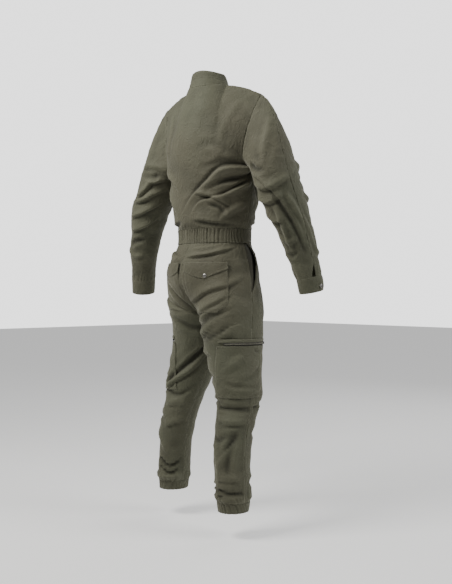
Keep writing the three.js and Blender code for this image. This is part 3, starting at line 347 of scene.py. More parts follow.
class Form:
    """The worn form of one side of the suit."""

    def __init__(self, side: Side) -> None:
        """Keep the side and its sign."""
        self.side = side
        self.sign = side.value

    def trunk(self, phi: np.ndarray, z: np.ndarray) -> np.ndarray:
        """Trunk: phi runs from 0 at the middle of the back to pi at the middle of the front."""
        depth = np.where(phi < QUARTER, TRUNK.at("back", z), TRUNK.at("front", z))
        x = self.sign * TRUNK.at("width", z) * np.sin(phi)
        return stack(x, TRUNK.at("mid_y", z) + depth * np.cos(phi), z)

    def top_line(self, u: np.ndarray, is_back: bool) -> np.ndarray:
        """Top line of a bodice, along the neck and then the shoulder seam."""
        turn = np.clip(u / NECK_SHARE, 0.0, 1.0) * QUARTER
        depth = NECK.back if is_back else -NECK.front
        middle_z = NECK.back_z if is_back else NECK.front_z
        rise = np.sin(turn) ** 2 if is_back else 1.0 - np.abs(np.cos(turn)) ** 1.4
        x = self.sign * NECK.width * np.sin(turn)
        neck = stack(x, NECK.mid_y + depth * np.cos(turn), mix(middle_z, NECK.side_z, rise))
        t = np.clip((u - NECK_SHARE) / (1.0 - NECK_SHARE), 0.0, 1.0)
        tip_x, tip_y, tip_z = NECK.shoulder
        seam = stack(
            self.sign * mix(NECK.width, tip_x, t),
            mix(NECK.mid_y, tip_y, t),
            mix(NECK.side_z, tip_z, t) + 7.0 * np.sin(math.pi * t),
        )
        return np.where((u <= NECK_SHARE)[..., None], neck, seam)

    def bodice(self, u: np.ndarray, v: np.ndarray, is_back: bool) -> np.ndarray:
        """Bodice: u from 0 at the middle to 1 at the side, v from 0 at the waist to 2, 1 at the armpit."""
        phi = u * QUARTER if is_back else math.pi - u * QUARTER
        low = twisted(self.trunk(phi, mix(WAISTBAND_TOP, ARMPIT, np.minimum(v, 1.0))))
        t = np.clip(v - 1.0, 0.0, 1.0)
        middle = self._middle_line(t, is_back)
        edge = self._armhole_line(t, is_back)
        turn = QUARTER * mix(1.0, 0.62, smooth(t * 1.4))
        base = (edge[..., 1] - middle[..., 1] * np.cos(turn)) / (1.0 - np.cos(turn))
        high = stack(
            edge[..., 0] * np.sin(u * turn) / np.sin(turn),
            base + (middle[..., 1] - base) * np.cos(u * turn),
            mix(middle[..., 2], edge[..., 2], u**1.6),
        )
        share = smooth((t - 0.3) / 0.7)[..., None]
        high = twisted(mix(high, self.top_line(u, is_back), share))
        return np.where((v <= 1.0)[..., None], low, high)

    def _middle_line(self, t: np.ndarray, is_back: bool) -> np.ndarray:
        """Middle line of a bodice above the armpit."""
        zero = np.zeros(1)
        foot = Form(Side.RIGHT).trunk(zero if is_back else zero + math.pi, zero + ARMPIT)[0]
        foot[0] = 0.0
        neck = self.top_line(zero, is_back)[0]
        sway = (142, 1215, 140, 1345) if is_back else (-130, 1195, -116, 1300)
        return bezier([foot, np.array((0, sway[0], sway[1])), np.array((0, sway[2], sway[3])), neck], t)

    def _armhole_line(self, t: np.ndarray, is_back: bool) -> np.ndarray:
        """Armhole edge of a bodice from the armpit to the shoulder point."""
        zero = np.zeros(1)
        armpit = self.trunk(zero + QUARTER, zero + ARMPIT)[0]
        tip = np.array((self.sign * NECK.shoulder[0], NECK.shoulder[1], NECK.shoulder[2]))
        low = (158, 85, 1125) if is_back else (154, -66, 1130)
        high = (165, 85, 1240) if is_back else (160, -66, 1240)
        side = np.array((self.sign, 1, 1))
        return bezier([armpit, side * low, side * high, tip], t)

    def arm_axes(self, z: np.ndarray) -> tuple[np.ndarray, np.ndarray, np.ndarray]:
        """Directions at a height of the arm: down it, to the back and away from the body."""
        arm = ARMS[self.side]
        down = unit(
            stack(
                self.sign * (arm.at("x", z - 5) - arm.at("x", z + 5)),
                arm.at("y", z - 5) - arm.at("y", z + 5),
                np.full(np.shape(z), -10.0),
            )
        )
        back = unit(np.array((0.0, 1.0, 0.0)) - down * down[..., 1:2])
        out = unit(np.cross(back, down))
        return down, back, out * np.sign(out[..., 0:1] * self.sign)

    def arm_ring(self, turn: np.ndarray, z: np.ndarray) -> np.ndarray:
        """Sleeve section: turn 0 and 2 face the body, 1 faces out."""
        arm = ARMS[self.side]
        _, back, out = self.arm_axes(z)
        angle = (turn - 0.5) * math.pi
        centre = stack(self.sign * arm.at("x", z), arm.at("y", z), z)
        across = (arm.at("width", z) * np.sin(angle))[..., None] * out
        return centre + across + (arm.at("depth", z) * np.cos(angle))[..., None] * back

    def sleeve(self, turn: np.ndarray, v: np.ndarray) -> np.ndarray:
        """Sleeve: v from 0 at the armhole over 1 at the armpit's level to 2 at the end of the cuff."""
        turn = np.mod(turn, 2.0)
        arm = twisted(self.arm_ring(turn, mix(ARM_TOP, ARM_FOOT[self.side], np.maximum(v - 1.0, 0.0))), 1.0)
        on_back = turn <= 1.0
        start = np.where(
            on_back[..., None],
            self.bodice(np.ones_like(turn), 1.0 + np.minimum(turn, 1.0), True),
            self.bodice(np.ones_like(turn), 3.0 - np.maximum(turn, 1.0), False),
        )
        top = np.full_like(turn, ARM_TOP)
        end = twisted(self.arm_ring(turn, top), 1.0)
        reach = np.linalg.norm(end - start, axis=-1, keepdims=True)
        over = np.sin(turn * math.pi / 2.0) ** 2
        leave = unit(stack(self.sign, 0.0, mix(-0.5, -0.62, over)))
        down, _, _ = self.arm_axes(top)
        t = np.clip(v, 0.0, 1.0)[..., None]
        cap = hermite(start, leave * reach, end, down * reach, t)
        return np.where((v >= 1.0)[..., None], arm, cap)

    def leg_ring(self, turn: np.ndarray, z: np.ndarray) -> np.ndarray:
        """Leg section: turn 0 and 2 at the inseam, 1 at the side seam."""
        leg = LEGS[self.side]
        angle = (turn - 0.5) * math.pi
        x = self.sign * (leg.at("x", z) + leg.at("width", z) * np.sin(angle))
        return stack(x, leg.at("y", z) + leg.at("depth", z) * np.cos(angle), z)

    def trousers(self, turn: np.ndarray, v: np.ndarray) -> np.ndarray:
        """Trousers: turn 0 at the middle of the back or the inseam, 1 at the side, 2 at the front.

        Args:
            turn: Place round the leg.
            v: 0 at the waistband, 1 at the hip, 2 at the crotch, 3 at the hem.

        Returns:
            Points on the outside.
        """
        leg = self.leg_ring(turn, mix(CROTCH, 0.0, np.maximum(v - 2.0, 0.0)))
        waist = self.trunk(turn * QUARTER, mix(WAISTBAND_FOOT, HIP, np.clip(v, 0.0, 1.0)))
        t = np.clip(v - 1.0, 0.0, 1.0)
        near_seam = np.cos(turn * QUARTER) ** 6
        leg_share = mix(smooth(t), 1.0 - np.cos(t * QUARTER), near_seam)
        z = mix(mix(HIP, CROTCH, t), HIP - (HIP - CROTCH) * np.sin(t * QUARTER), near_seam)
        ring = self.leg_ring(turn, np.full_like(z, CROTCH))
        seat = mix(self.trunk(turn * QUARTER, z), ring, leg_share[..., None])
        seat[..., 2] = z
        seat[..., 0] = self.sign * np.maximum(self.sign * seat[..., 0], 0.0)
        result = np.where((v >= 2.0)[..., None], leg, seat)
        return np.where((v <= 1.0)[..., None], waist, result)


# ---------------------------------------------------------------------------------------------------
# Cloth panels
# ---------------------------------------------------------------------------------------------------

Surface = Callable[[np.ndarray, np.ndarray], np.ndarray]


def curve_through(path: tuple[tuple[float, float], ...], count: int) -> np.ndarray:
    """Places on a smooth curve through the given ones."""
    nodes = np.array(path, dtype=float)
    if len(nodes) == 2:
        return mix(nodes[0], nodes[1], np.linspace(0, 1, count)[:, None])
    where = np.linspace(0, len(nodes) - 1, count)
    k = np.minimum(where.astype(int), len(nodes) - 2)
    t = (where - k)[:, None]
    before, after = nodes[np.maximum(k - 1, 0)], nodes[np.minimum(k + 2, len(nodes) - 1)]
    low, high = nodes[k], nodes[k + 1]
    return hermite(low, (high - before) / 2, high, (after - low) / 2, t)


@dataclass(frozen=True)
class Crease:
    """One fold of the cloth along a line of places on a surface; width and depth in millimetres."""

    path: tuple[tuple[float, float], ...]
    width: float
    depth: float
    kind: Fold = Fold.TROUGH
    fade: tuple[float, float] = (0.3, 0.45)

    def relief(self, surface: Surface, points: np.ndarray, normals: np.ndarray) -> np.ndarray:
        """How far this fold moves each point along its normal.

        Args:
            surface: The surface that the path is drawn on.
            points: Points of the panel.
            normals: Its normals there.

        Returns:
            One height for each point.
        """
        places = curve_through(self.path, 30)
        line = surface(places[:, 0], places[:, 1])
        reach = 3.2 * self.width
        flat, facing = points.reshape(-1, 3), normals.reshape(-1, 3)
        inside = np.all((flat > line.min(axis=0) - reach) & (flat < line.max(axis=0) + reach), axis=1)
        heights = np.zeros(len(flat))
        if not inside.any():
            return heights.reshape(points.shape[:-1])
        near, n = flat[inside], facing[inside]
        start, step = line[:-1], line[1:] - line[:-1]
        offset = near[:, None] - start[None]
        along = np.clip(np.sum(offset * step, axis=2) / np.maximum(np.sum(step * step, axis=1), 1e-6), 0, 1)
        gap = offset - along[..., None] * step[None]
        distance = np.linalg.norm(gap, axis=2)
        best = np.argmin(distance, axis=1)
        pick = np.arange(len(near))
        t = (best + along[pick, best]) / len(step)
        side = np.sign(np.sum(np.cross(step[best], gap[pick, best]) * n, axis=1))
        taper = smooth(t / self.fade[0]) * smooth((1 - t) / self.fade[1])
        x = distance[pick, best] / (FOLD_WIDTH * self.width * (0.55 + 0.45 * taper)) * side
        heights[inside] = self.depth * taper * self._profile(x)
        return heights.reshape(points.shape[:-1])

    def _profile(self, x: np.ndarray) -> np.ndarray:
        """Height across the fold for a depth of one."""
        bell = np.exp(-(x**2))
        flanks = np.exp(-(((np.abs(x) - 1.75) / 0.75) ** 2))
        if self.kind is Fold.TROUGH:
            return bell - 0.38 * flanks
        if self.kind is Fold.RIDGE:
            return bell - 0.3 * flanks
        lip = np.where(x > 0, np.exp(-((x / 1.5) ** 2)), np.exp(-((x / 0.42) ** 2)))
        return lip - 0.55 * np.exp(-(((x + 0.85) / 0.5) ** 2))


class Edge(Enum):
    """An edge of a panel, by its first or last column or row."""

    FIRST_COLUMN = "first column"
    LAST_COLUMN = "last column"
    FIRST_ROW = "first row"
    LAST_ROW = "last row"


@dataclass(frozen=True)
class Seam:
    """How one edge of a panel is sewn; lengths in millimetres."""

    edge: Edge
    lap: float = 8.0
    rise: float = 0.9
    dip: float = 1.5
    pucker: float = 0.55
    pitch: float = 11.0
    held: float = 0.25


SIDES = (Edge.FIRST_COLUMN, Edge.LAST_COLUMN)
ENDS = (Edge.FIRST_ROW, Edge.LAST_ROW)
SIDES_AND_FOOT = SIDES + (Edge.LAST_ROW,)
FAR_OFF = 99.0


def like_seams(edges: tuple[Edge, ...], **numbers: float) -> tuple[Seam, ...]:
    """The same seam on several edges."""
    return tuple(Seam(edge, **numbers) for edge in edges)


@dataclass
class Panel:
    """A cut panel of cloth on the worn form.

    Attributes:
        name: Name of the finished piece.
        surface: Surface that it lies on.
        cut: Gives the surface's two numbers from the shares across and down the panel.
        heart: A point inside the garment, to tell outside from inside.
        spacing: Distance between neighbouring points, in millimetres.
        lift: Clear height of its outer face over the surface.
        wall: Thickness of the cloth.
        creases: Its folds, listed one by one.
        seams: Its sewn edges.
        swells: Other relief, each from this panel to heights.
        seed: Seed of its small unevenness.
    """

    name: str
    surface: Surface
    cut: Callable[[np.ndarray, np.ndarray], tuple[np.ndarray, np.ndarray]]
    heart: Callable[[np.ndarray], np.ndarray]
    spacing: float = 4.6
    lift: float = 0.0
    wall: float = 1.4
    creases: tuple[Crease, ...] = ()
    seams: tuple[Seam, ...] = ()
    swells: tuple[Callable[["Panel"], np.ndarray], ...] = ()
    seed: int = 1
    u: np.ndarray = field(init=False)
    v: np.ndarray = field(init=False)
    base: np.ndarray = field(init=False)
    points: np.ndarray = field(init=False)
    normals: np.ndarray = field(init=False)
    across: np.ndarray = field(init=False)
    down: np.ndarray = field(init=False)
    height: np.ndarray = field(init=False)

    def __post_init__(self) -> None:
        """Lay the panel out, then fold it."""
        wide, long = self._rough_size()
        columns, rows = self._lines(wide), self._lines(long)
        a, b = np.meshgrid(columns, rows)
        self.u, self.v = self.cut(a, b)
        self.base = self.surface(self.u, self.v)
        self.across = self._measure(self.base, 1)
        self.down = self._measure(self.base, 0)
        self.normals = self._normals(self.base)
        height = np.zeros(self.u.shape)
        for crease in self.creases:
            height += FOLD_DEPTH * crease.relief(self.surface, self.base, self.normals)
        for swell in self.swells:
            height += swell(self)
        for seam in self.seams:
            height = self._sewn(seam, height)
        self.height = height
        self.points = self.base + self.normals * (height + self.lift)[..., None]

    def _rough_size(self) -> tuple[float, float]:
        """Width and length of the panel at its middle."""
        a, b = np.meshgrid(np.linspace(0, 1, 41), np.linspace(0, 1, 41))
        p = self.surface(*self.cut(a, b))
        wide = np.linalg.norm(np.diff(p, axis=1), axis=2).sum(axis=1).max()
        long = np.linalg.norm(np.diff(p, axis=0), axis=2).sum(axis=0).max()
        return wide, long

    def _lines(self, length: float) -> np.ndarray:
        """Shares of the grid lines, closer together near the edges."""
        edge = np.array((0.0, 1.3, 3.0, 5.2)) / length
        count = max(int(length / self.spacing) - 2, 3)
        middle = np.linspace(8.4 / length, 1.0 - 8.4 / length, count)
        return np.concatenate([edge, middle, 1.0 - edge[::-1]])

    @staticmethod
    def _measure(points: np.ndarray, axis: int) -> np.ndarray:
        """Length along the grid lines of one direction from their start."""
        steps = np.linalg.norm(np.diff(points, axis=axis), axis=2)
        start = np.zeros_like(steps.take([0], axis=axis))
        return np.cumsum(np.concatenate([start, steps], axis=axis), axis=axis)

    def _normals(self, points: np.ndarray) -> np.ndarray:
        """Unit normals that point away from the heart."""
        normal = unit(np.cross(np.gradient(points, axis=1), np.gradient(points, axis=0)))
        away = np.sum(normal * (points - self.heart(self.v)), axis=-1, keepdims=True)
        return normal * np.where(away < 0, -1.0, 1.0)

    def from_edge(self, edge: Edge) -> np.ndarray:
        """Distance of every point from one edge."""
        if edge is Edge.FIRST_COLUMN:
            return self.across
        if edge is Edge.LAST_COLUMN:
            return self.across[:, -1:] - self.across
        if edge is Edge.FIRST_ROW:
            return self.down
        return self.down[-1:] - self.down

    def _sewn(self, seam: Seam, height: np.ndarray) -> np.ndarray:
        """Flatten the folds at an edge and give it its lap, its dip and its puckers."""
        distance = self.from_edge(seam.edge)
        along = self.down if seam.edge in (Edge.FIRST_COLUMN, Edge.LAST_COLUMN) else self.across
        noise = CloudNoise(self.seed + 77)
        sample = stack(along, distance * 0.35, np.full_like(along, 3.0 * self.seed))
        pucker = noise.at(sample, (seam.pitch, 26.0, 10.0)) * np.exp(-((distance / (2.4 * seam.lap)) ** 2))
        lap = smooth((seam.lap - distance) / 2.2 + 0.5)
        dip = np.exp(-((distance / 1.9) ** 2))
        held = mix(seam.held, 1.0, smooth(distance / 16.0))
        return height * held + seam.rise * lap + seam.pucker * 2.0 * pucker - seam.dip * dip

    def build(self, body: str = "suit") -> bpy.types.Object:
        """Make the panel's mesh with its wall and its map, in metres.

        Args:
            body: Body that it rides on.

        Returns:
            The finished object.
        """
        rows, columns = self.u.shape
        work = bmesh.new()
        bmesh.ops.create_grid(work, x_segments=columns - 1, y_segments=rows - 1, size=1.0)
        mesh = bpy.data.meshes.new(self.name)
        work.to_mesh(mesh)
        work.free()
        flat = np.empty(len(mesh.vertices) * 3)
        mesh.vertices.foreach_get("co", flat)
        grid = flat.reshape(-1, 3)
        i = np.rint((grid[:, 1] + 1) / 2 * (rows - 1)).astype(int)
        j = np.rint((grid[:, 0] + 1) / 2 * (columns - 1)).astype(int)
        placed = (self.points[i, j] - np.array((0, 0, ORIGIN_HEIGHT))) * MM
        mesh.vertices.foreach_set("co", placed.ravel())
        mesh.update()
        face = mesh.polygons[len(mesh.polygons) // 2]
        k = face.vertices[0]
        if np.dot(np.array(face.normal), self.normals[i[k], j[k]]) < 0:
            mesh.flip_normals()
        corners = np.empty(len(mesh.loops), dtype=int)
        mesh.loops.foreach_get("vertex_index", corners)
        chart = np.stack([self.across[i, j] - self.across[i, -1] / 2, self.down[i, j]], axis=1) * MM
        mesh.uv_layers.new(name="cloth").data.foreach_set("uv", chart[corners].ravel())
        far = [np.full(self.u.shape, FAR_OFF)]
        near = np.min([self.from_edge(seam.edge) for seam in self.seams] or far, axis=0)
        wear = mesh.attributes.new("wear", "FLOAT", "POINT")
        wear.data.foreach_set("value", np.exp(-((near[i, j] / 5.0) ** 2)).astype(np.float32))
        # Fold height, which the twill turns into painted shade in troughs and a painted highlight on crests.
        crest = mesh.attributes.new("crest", "FLOAT", "POINT")
        crest.data.foreach_set("value", np.clip(self.height[i, j] / 8.0, -1.0, 1.0).astype(np.float32))
        mesh.polygons.foreach_set("use_smooth", np.ones(len(mesh.polygons), dtype=bool))
        piece = bpy.data.objects.new(self.name, mesh)
        bpy.context.scene.collection.objects.link(piece)
        wall = piece.modifiers.new("wall", "SOLIDIFY")
        wall.thickness = self.wall * MM
        wall.offset = -1.0
        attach(piece, body)
        return piece

    def at(self, column: np.ndarray, row: np.ndarray) -> tuple[np.ndarray, np.ndarray]:
        """Points and normals of the finished outside at fractional grid places."""
        rows, columns = self.u.shape
        i = np.clip(row, 0, rows - 1.001)
        j = np.clip(column, 0, columns - 1.001)
        i0, j0 = i.astype(int), j.astype(int)
        fi, fj = (i - i0)[..., None], (j - j0)[..., None]

        def blend(grid: np.ndarray) -> np.ndarray:
            """Read one grid between its points."""
            low = mix(grid[i0, j0], grid[i0, j0 + 1], fj)
            high = mix(grid[i0 + 1, j0], grid[i0 + 1, j0 + 1], fj)
            return mix(low, high, fi)

        return blend(self.points), unit(blend(self._normals(self.points)))

    def beside(self, edge: Edge, inset: float, start: float = 0.0, end: float = 1.0) -> "Line":
        """A line that runs along an edge at an even distance, over a share of its length."""
        rows, columns = self.u.shape
        distance = self.from_edge(edge)
        along_rows = edge in (Edge.FIRST_COLUMN, Edge.LAST_COLUMN)
        count = rows if along_rows else columns
        places = np.linspace(start * (count - 1), end * (count - 1), max(int(count * (end - start)), 2))
        found = []
        for place in places:
            k = int(round(place))
            reach = distance[k] if along_rows else distance[:, k]
            order = np.argsort(reach)
            found.append(np.interp(inset, reach[order], np.arange(len(reach))[order]))
        other = np.array(found)
        points, normals = self.at(other, places) if along_rows else self.at(places, other)
        return Line(points, normals)

    def through(self, shares: tuple[tuple[float, float], ...], count: int = 60) -> "Line":
        """A line through places given as shares across and down the panel's cut."""
        rows, columns = self.u.shape
        path = curve_through(shares, count)
        where = []
        for a, b in path:
            row = np.interp(b * self.down[-1, columns // 2], self.down[:, columns // 2], np.arange(rows))
            line = self.across[int(round(row))]
            where.append((np.interp(a * line[-1], line, np.arange(columns)), row))
        found = np.array(where)
        points, normals = self.at(found[:, 0], found[:, 1])
        return Line(points, normals)


@dataclass
class Line:
    """A line of points on the outside of the cloth, with the normals there."""

    points: np.ndarray
    normals: np.ndarray

    def evenly(self, pitch: float) -> tuple[np.ndarray, np.ndarray, np.ndarray]:
        """Points, directions and normals at an even pitch."""
        steps = np.linalg.norm(np.diff(self.points, axis=0), axis=1)
        length = np.concatenate([[0.0], np.cumsum(steps)])
        count = max(int(length[-1] / pitch), 1)
        where = (np.arange(count) + 0.5) * length[-1] / count
        points = np.stack([np.interp(where, length, self.points[:, k]) for k in range(3)], axis=1)
        ahead = np.stack([np.interp(where + 0.5, length, self.points[:, k]) for k in range(3)], axis=1)
        normals = unit(np.stack([np.interp(where, length, self.normals[:, k]) for k in range(3)], axis=1))
        along = unit(ahead - points + 1e-9)
        return points, unit(along - normals * np.sum(along * normals, axis=1, keepdims=True)), normals


def ruled(
    turn: Callable[[np.ndarray, np.ndarray], np.ndarray], rows: tuple[float, float]
) -> Callable[[np.ndarray, np.ndarray], tuple[np.ndarray, np.ndarray]]:
    """A panel's cut between two rows.

    Args:
        turn: Gives the surface's first number from the share across and the second number.
        rows: First and last value of the second number.

    Returns:
        The cut, from shares across and down.
    """

    def cut(a: np.ndarray, b: np.ndarray) -> tuple[np.ndarray, np.ndarray]:
        """Both numbers of the surface at the shares."""
        v = mix(rows[0], rows[1], b)
        return turn(a, v) + 0.0 * v, v

    return cut


def swell(size: tuple[float, float, float], amount: float, seed: int) -> Callable[[Panel], np.ndarray]:
    """Soft unevenness all over a panel: its swells' size and height in millimetres."""

    def relief(panel: Panel) -> np.ndarray:
        """Heights of the unevenness."""
        return amount * CloudNoise(seed).at(panel.base, size)

    return relief


def crinkle(size: tuple[float, float, float], amount: float, seed: int) -> Callable[[Panel], np.ndarray]:
    """Fine sharp-backed creases all over a panel."""

    def relief(panel: Panel) -> np.ndarray:
        """Heights of the creases."""
        noise = CloudNoise(seed)
        bend = 14.0 * np.stack([noise.at(panel.base + 50 * k, 90.0) for k in (1, 2, 3)], axis=-1)
        return amount * (0.55 - np.abs(noise.at(panel.base + bend, size)) ** 0.8 * 1.6)

    return relief


def channels(edge: Edge, insets: tuple[float, ...], depth: float) -> Callable[[Panel], np.ndarray]:
    """Grooves that rows of stitching draw into padded or doubled cloth beside an edge."""

    def relief(panel: Panel) -> np.ndarray:
        """Heights of the grooves."""
        distance = panel.from_edge(edge)
        return -depth * sum(np.exp(-(((distance - inset) / 2.4) ** 2)) for inset in insets)

    return relief


def gathers(
    edge: Edge, pitch: float, height: float, reach: float, seed: int, flat: float = 0.0
) -> Callable[[Panel], np.ndarray]:
    """Pleats that run from a gathered edge into the cloth.

    Args:
        edge: The gathered edge.
        pitch: Distance from one pleat to the next.
        height: Half height of a pleat at the edge.
        reach: How far the pleats run.
        seed: Seed of their unevenness.
        flat: Share of the height that stays all over, as on a band.

    Returns:
        The relief.
    """

    def relief(panel: Panel) -> np.ndarray:
        """Heights of the pleats."""
        distance = panel.from_edge(edge)
        along = panel.across if edge in (Edge.FIRST_ROW, Edge.LAST_ROW) else panel.down
        noise = CloudNoise(seed)
        drift = noise.at(stack(along, distance * 0.5, np.full_like(along, 9.0)), (34.0, 40.0, 10.0))
        strength = noise.at(stack(along, np.zeros_like(along), np.full_like(along, 31.0)), (19.0, 10.0, 10.0))
        run = noise.at(stack(along, np.zeros_like(along), np.full_like(along, 57.0)), (11.0, 10.0, 10.0))
        fall = np.exp(-((distance / (reach * (1.0 + 0.55 * run))) ** 1.4))
        wave = 2.0 * np.abs(np.sin(math.pi * (along / pitch + 0.8 * drift))) ** 0.8 - 1.2
        return height * (0.8 + 0.55 * strength) * (flat + (1.0 - flat) * fall) * wave

    return relief


# ---------------------------------------------------------------------------------------------------
# Finishes
# ---------------------------------------------------------------------------------------------------

Colour = tuple[float, float, float, float]


def node_group(name: str, inputs: dict[str, str], outputs: dict[str, str]) -> bpy.types.NodeTree:
    """A new shader group with its sockets and its two end nodes.

    Args:
        name: Name of the group.
        inputs: Socket types by name.
        outputs: Socket types by name.

    Returns:
        The group.
    """
    group = bpy.data.node_groups.new(name, "ShaderNodeTree")
    for label, kind in inputs.items():
        group.interface.new_socket(label, in_out="INPUT", socket_type=kind)
    for label, kind in outputs.items():
        group.interface.new_socket(label, in_out="OUTPUT", socket_type=kind)
    group.nodes.new("NodeGroupInput").name = "in"
    group.nodes.new("NodeGroupOutput").name = "out"
    return group


class Graph:
    """A few short ways to lay shader nodes."""

    def __init__(self, tree: bpy.types.NodeTree) -> None:
        """Keep the tree that the nodes go in."""
        self.tree = tree

    def node(self, kind: str, links: dict[str, object] | None = None, **settings: object) -> bpy.types.Node:
        """Add a node, set it and feed its inputs.

        Args:
            kind: Node type.
            links: Socket or plain value for inputs by name or number.
            **settings: Properties of the node.

        Returns:
            The node.
        """
        made = self.tree.nodes.new(kind)
        for key, value in settings.items():
            setattr(made, key, value)
        for key, value in (links or {}).items():
            socket = made.inputs[key]
            if isinstance(value, bpy.types.NodeSocket):
                self.tree.links.new(value, socket)
            else:
                socket.default_value = value
        return made

    def noise(
        self, place: object, scale: float, detail: float, **finer: float
    ) -> bpy.types.NodeSocket:
        """Cloudy grey levels at a place."""
        links = {"Vector": place, "Scale": scale, "Detail": detail, **finer}
        return self.node("ShaderNodeTexNoise", links).outputs[0]

    def bump(self, strength: float, distance: float, height: object) -> bpy.types.Node:
        """Fine relief from a height."""
        links = {"Strength": strength, "Distance": distance, "Height": height}
        return self.node("ShaderNodeBump", links)

    def math(self, operation: str, a: object, b: object = 0.0) -> bpy.types.NodeSocket:
        """A sum on two values."""
        return self.node("ShaderNodeMath", {0: a, 1: b}, operation=operation).outputs[0]

    def blend(self, share: object, a: object, b: object, mode: str = "MIX") -> bpy.types.NodeSocket:
        """A mix of two colours."""
        made = self.node("ShaderNodeMix", {0: share, 6: a, 7: b}, data_type="RGBA", blend_type=mode)
        return made.outputs[2]

    def ramp(self, value: object, stops: tuple[tuple[float, float], ...]) -> bpy.types.NodeSocket:
        """Grey levels by a value."""
        made = self.node("ShaderNodeValToRGB", {0: value})
        stairs = made.color_ramp.elements
        while len(stairs) < len(stops):
            stairs.new(0.5)
        for stair, (place, level) in zip(stairs, stops):
            stair.position = place
            stair.color = (level, level, level, 1.0)
        return made.outputs[0]


def weave_group() -> bpy.types.NodeTree:
    """Diagonal wales and threads of twill, on a map in metres: a height and a shade."""
    kinds = {"Map": "NodeSocketVector"}
    group = node_group("twill_weave", kinds, {"Height": "NodeSocketFloat", "Shade": "NodeSocketFloat"})
    graph = Graph(group)
    place = group.nodes["in"].outputs["Map"]
    slub = graph.noise(place, 900.0, 2.0)
    wale = graph.node(
        "ShaderNodeTexWave",
        {"Vector": place, "Scale": 330.0, "Distortion": 1.2, "Detail": 1.0, "Detail Scale": 3.0},
        wave_type="BANDS", bands_direction="DIAGONAL",
    ).outputs[1]
    thread = graph.node(
        "ShaderNodeTexWave", {"Vector": place, "Scale": 620.0, "Distortion": 0.6, "Detail": 1.0},
        wave_type="BANDS", bands_direction="Y",
    ).outputs[1]
    woven = graph.math("ADD", graph.math("MULTIPLY", wale, 0.7), graph.math("MULTIPLY", thread, 0.3))
    height = graph.math("ADD", woven, graph.math("MULTIPLY", slub, 0.35))
    shade = graph.math("ADD", graph.math("MULTIPLY", woven, 0.16), graph.math("MULTIPLY", slub, 0.14))
    group.links.new(height, group.nodes["out"].inputs["Height"])
    group.links.new(graph.math("ADD", shade, 0.85), group.nodes["out"].inputs["Shade"])
    return group


def fade_and_shade_group() -> bpy.types.NodeTree:
    """Masks for the twill: a light mask of seam wear, random patches and a painted highlight on fold crests,
    a painted shade mask in fold troughs, and a warm mask.
    """
    names = ("Light", "Dark", "Warm", "Rumple")
    outputs = {name: "NodeSocketFloat" for name in names}
    group = node_group("cloth_fade_and_shade", {}, outputs)
    graph = Graph(group)
    place = graph.node("ShaderNodeTexCoord").outputs["Object"]
    cloud = graph.noise(place, 7.0, 5.0, Roughness=0.6)
    fine = graph.noise(place, 70.0, 4.0, Roughness=0.7)
    warm = graph.noise(place, 3.1, 3.0)
    wear = graph.node("ShaderNodeAttribute", attribute_name="wear").outputs["Fac"]
    crest = graph.node("ShaderNodeAttribute", attribute_name="crest").outputs["Fac"]
    patch = graph.math("ADD", graph.math("MULTIPLY", cloud, 0.6), graph.math("MULTIPLY", fine, 0.4))
    rubbed = graph.math("MULTIPLY", wear, graph.math("ADD", fine, 0.1))
    # Painted highlight: the tops of folds are made lighter; the seam wear added to it next is real wear.
    high = graph.math("MAXIMUM", crest, 0.0)
    worn = graph.math("ADD", graph.math("MULTIPLY", rubbed, 0.55), graph.math("MULTIPLY", high, 0.5))
    light = graph.math("ADD", worn, graph.math("MULTIPLY", patch, 0.5))
    # Painted shade: the troughs of folds are made darker.
    low = graph.math("MULTIPLY", graph.math("MINIMUM", crest, 0.0), -0.9)
    group.links.new(light, group.nodes["out"].inputs["Light"])
    group.links.new(low, group.nodes["out"].inputs["Dark"])
    group.links.new(graph.ramp(warm, ((0.42, 0.0), (0.68, 1.0))), group.nodes["out"].inputs["Warm"])
    creases = graph.noise(place, 26.0, 3.0, Roughness=0.55, Distortion=1.6)
    folded = graph.math("ABSOLUTE", graph.math("SUBTRACT", creases, 0.5))
    group.links.new(graph.math("MULTIPLY", folded, 2.0), group.nodes["out"].inputs["Rumple"])
    return group


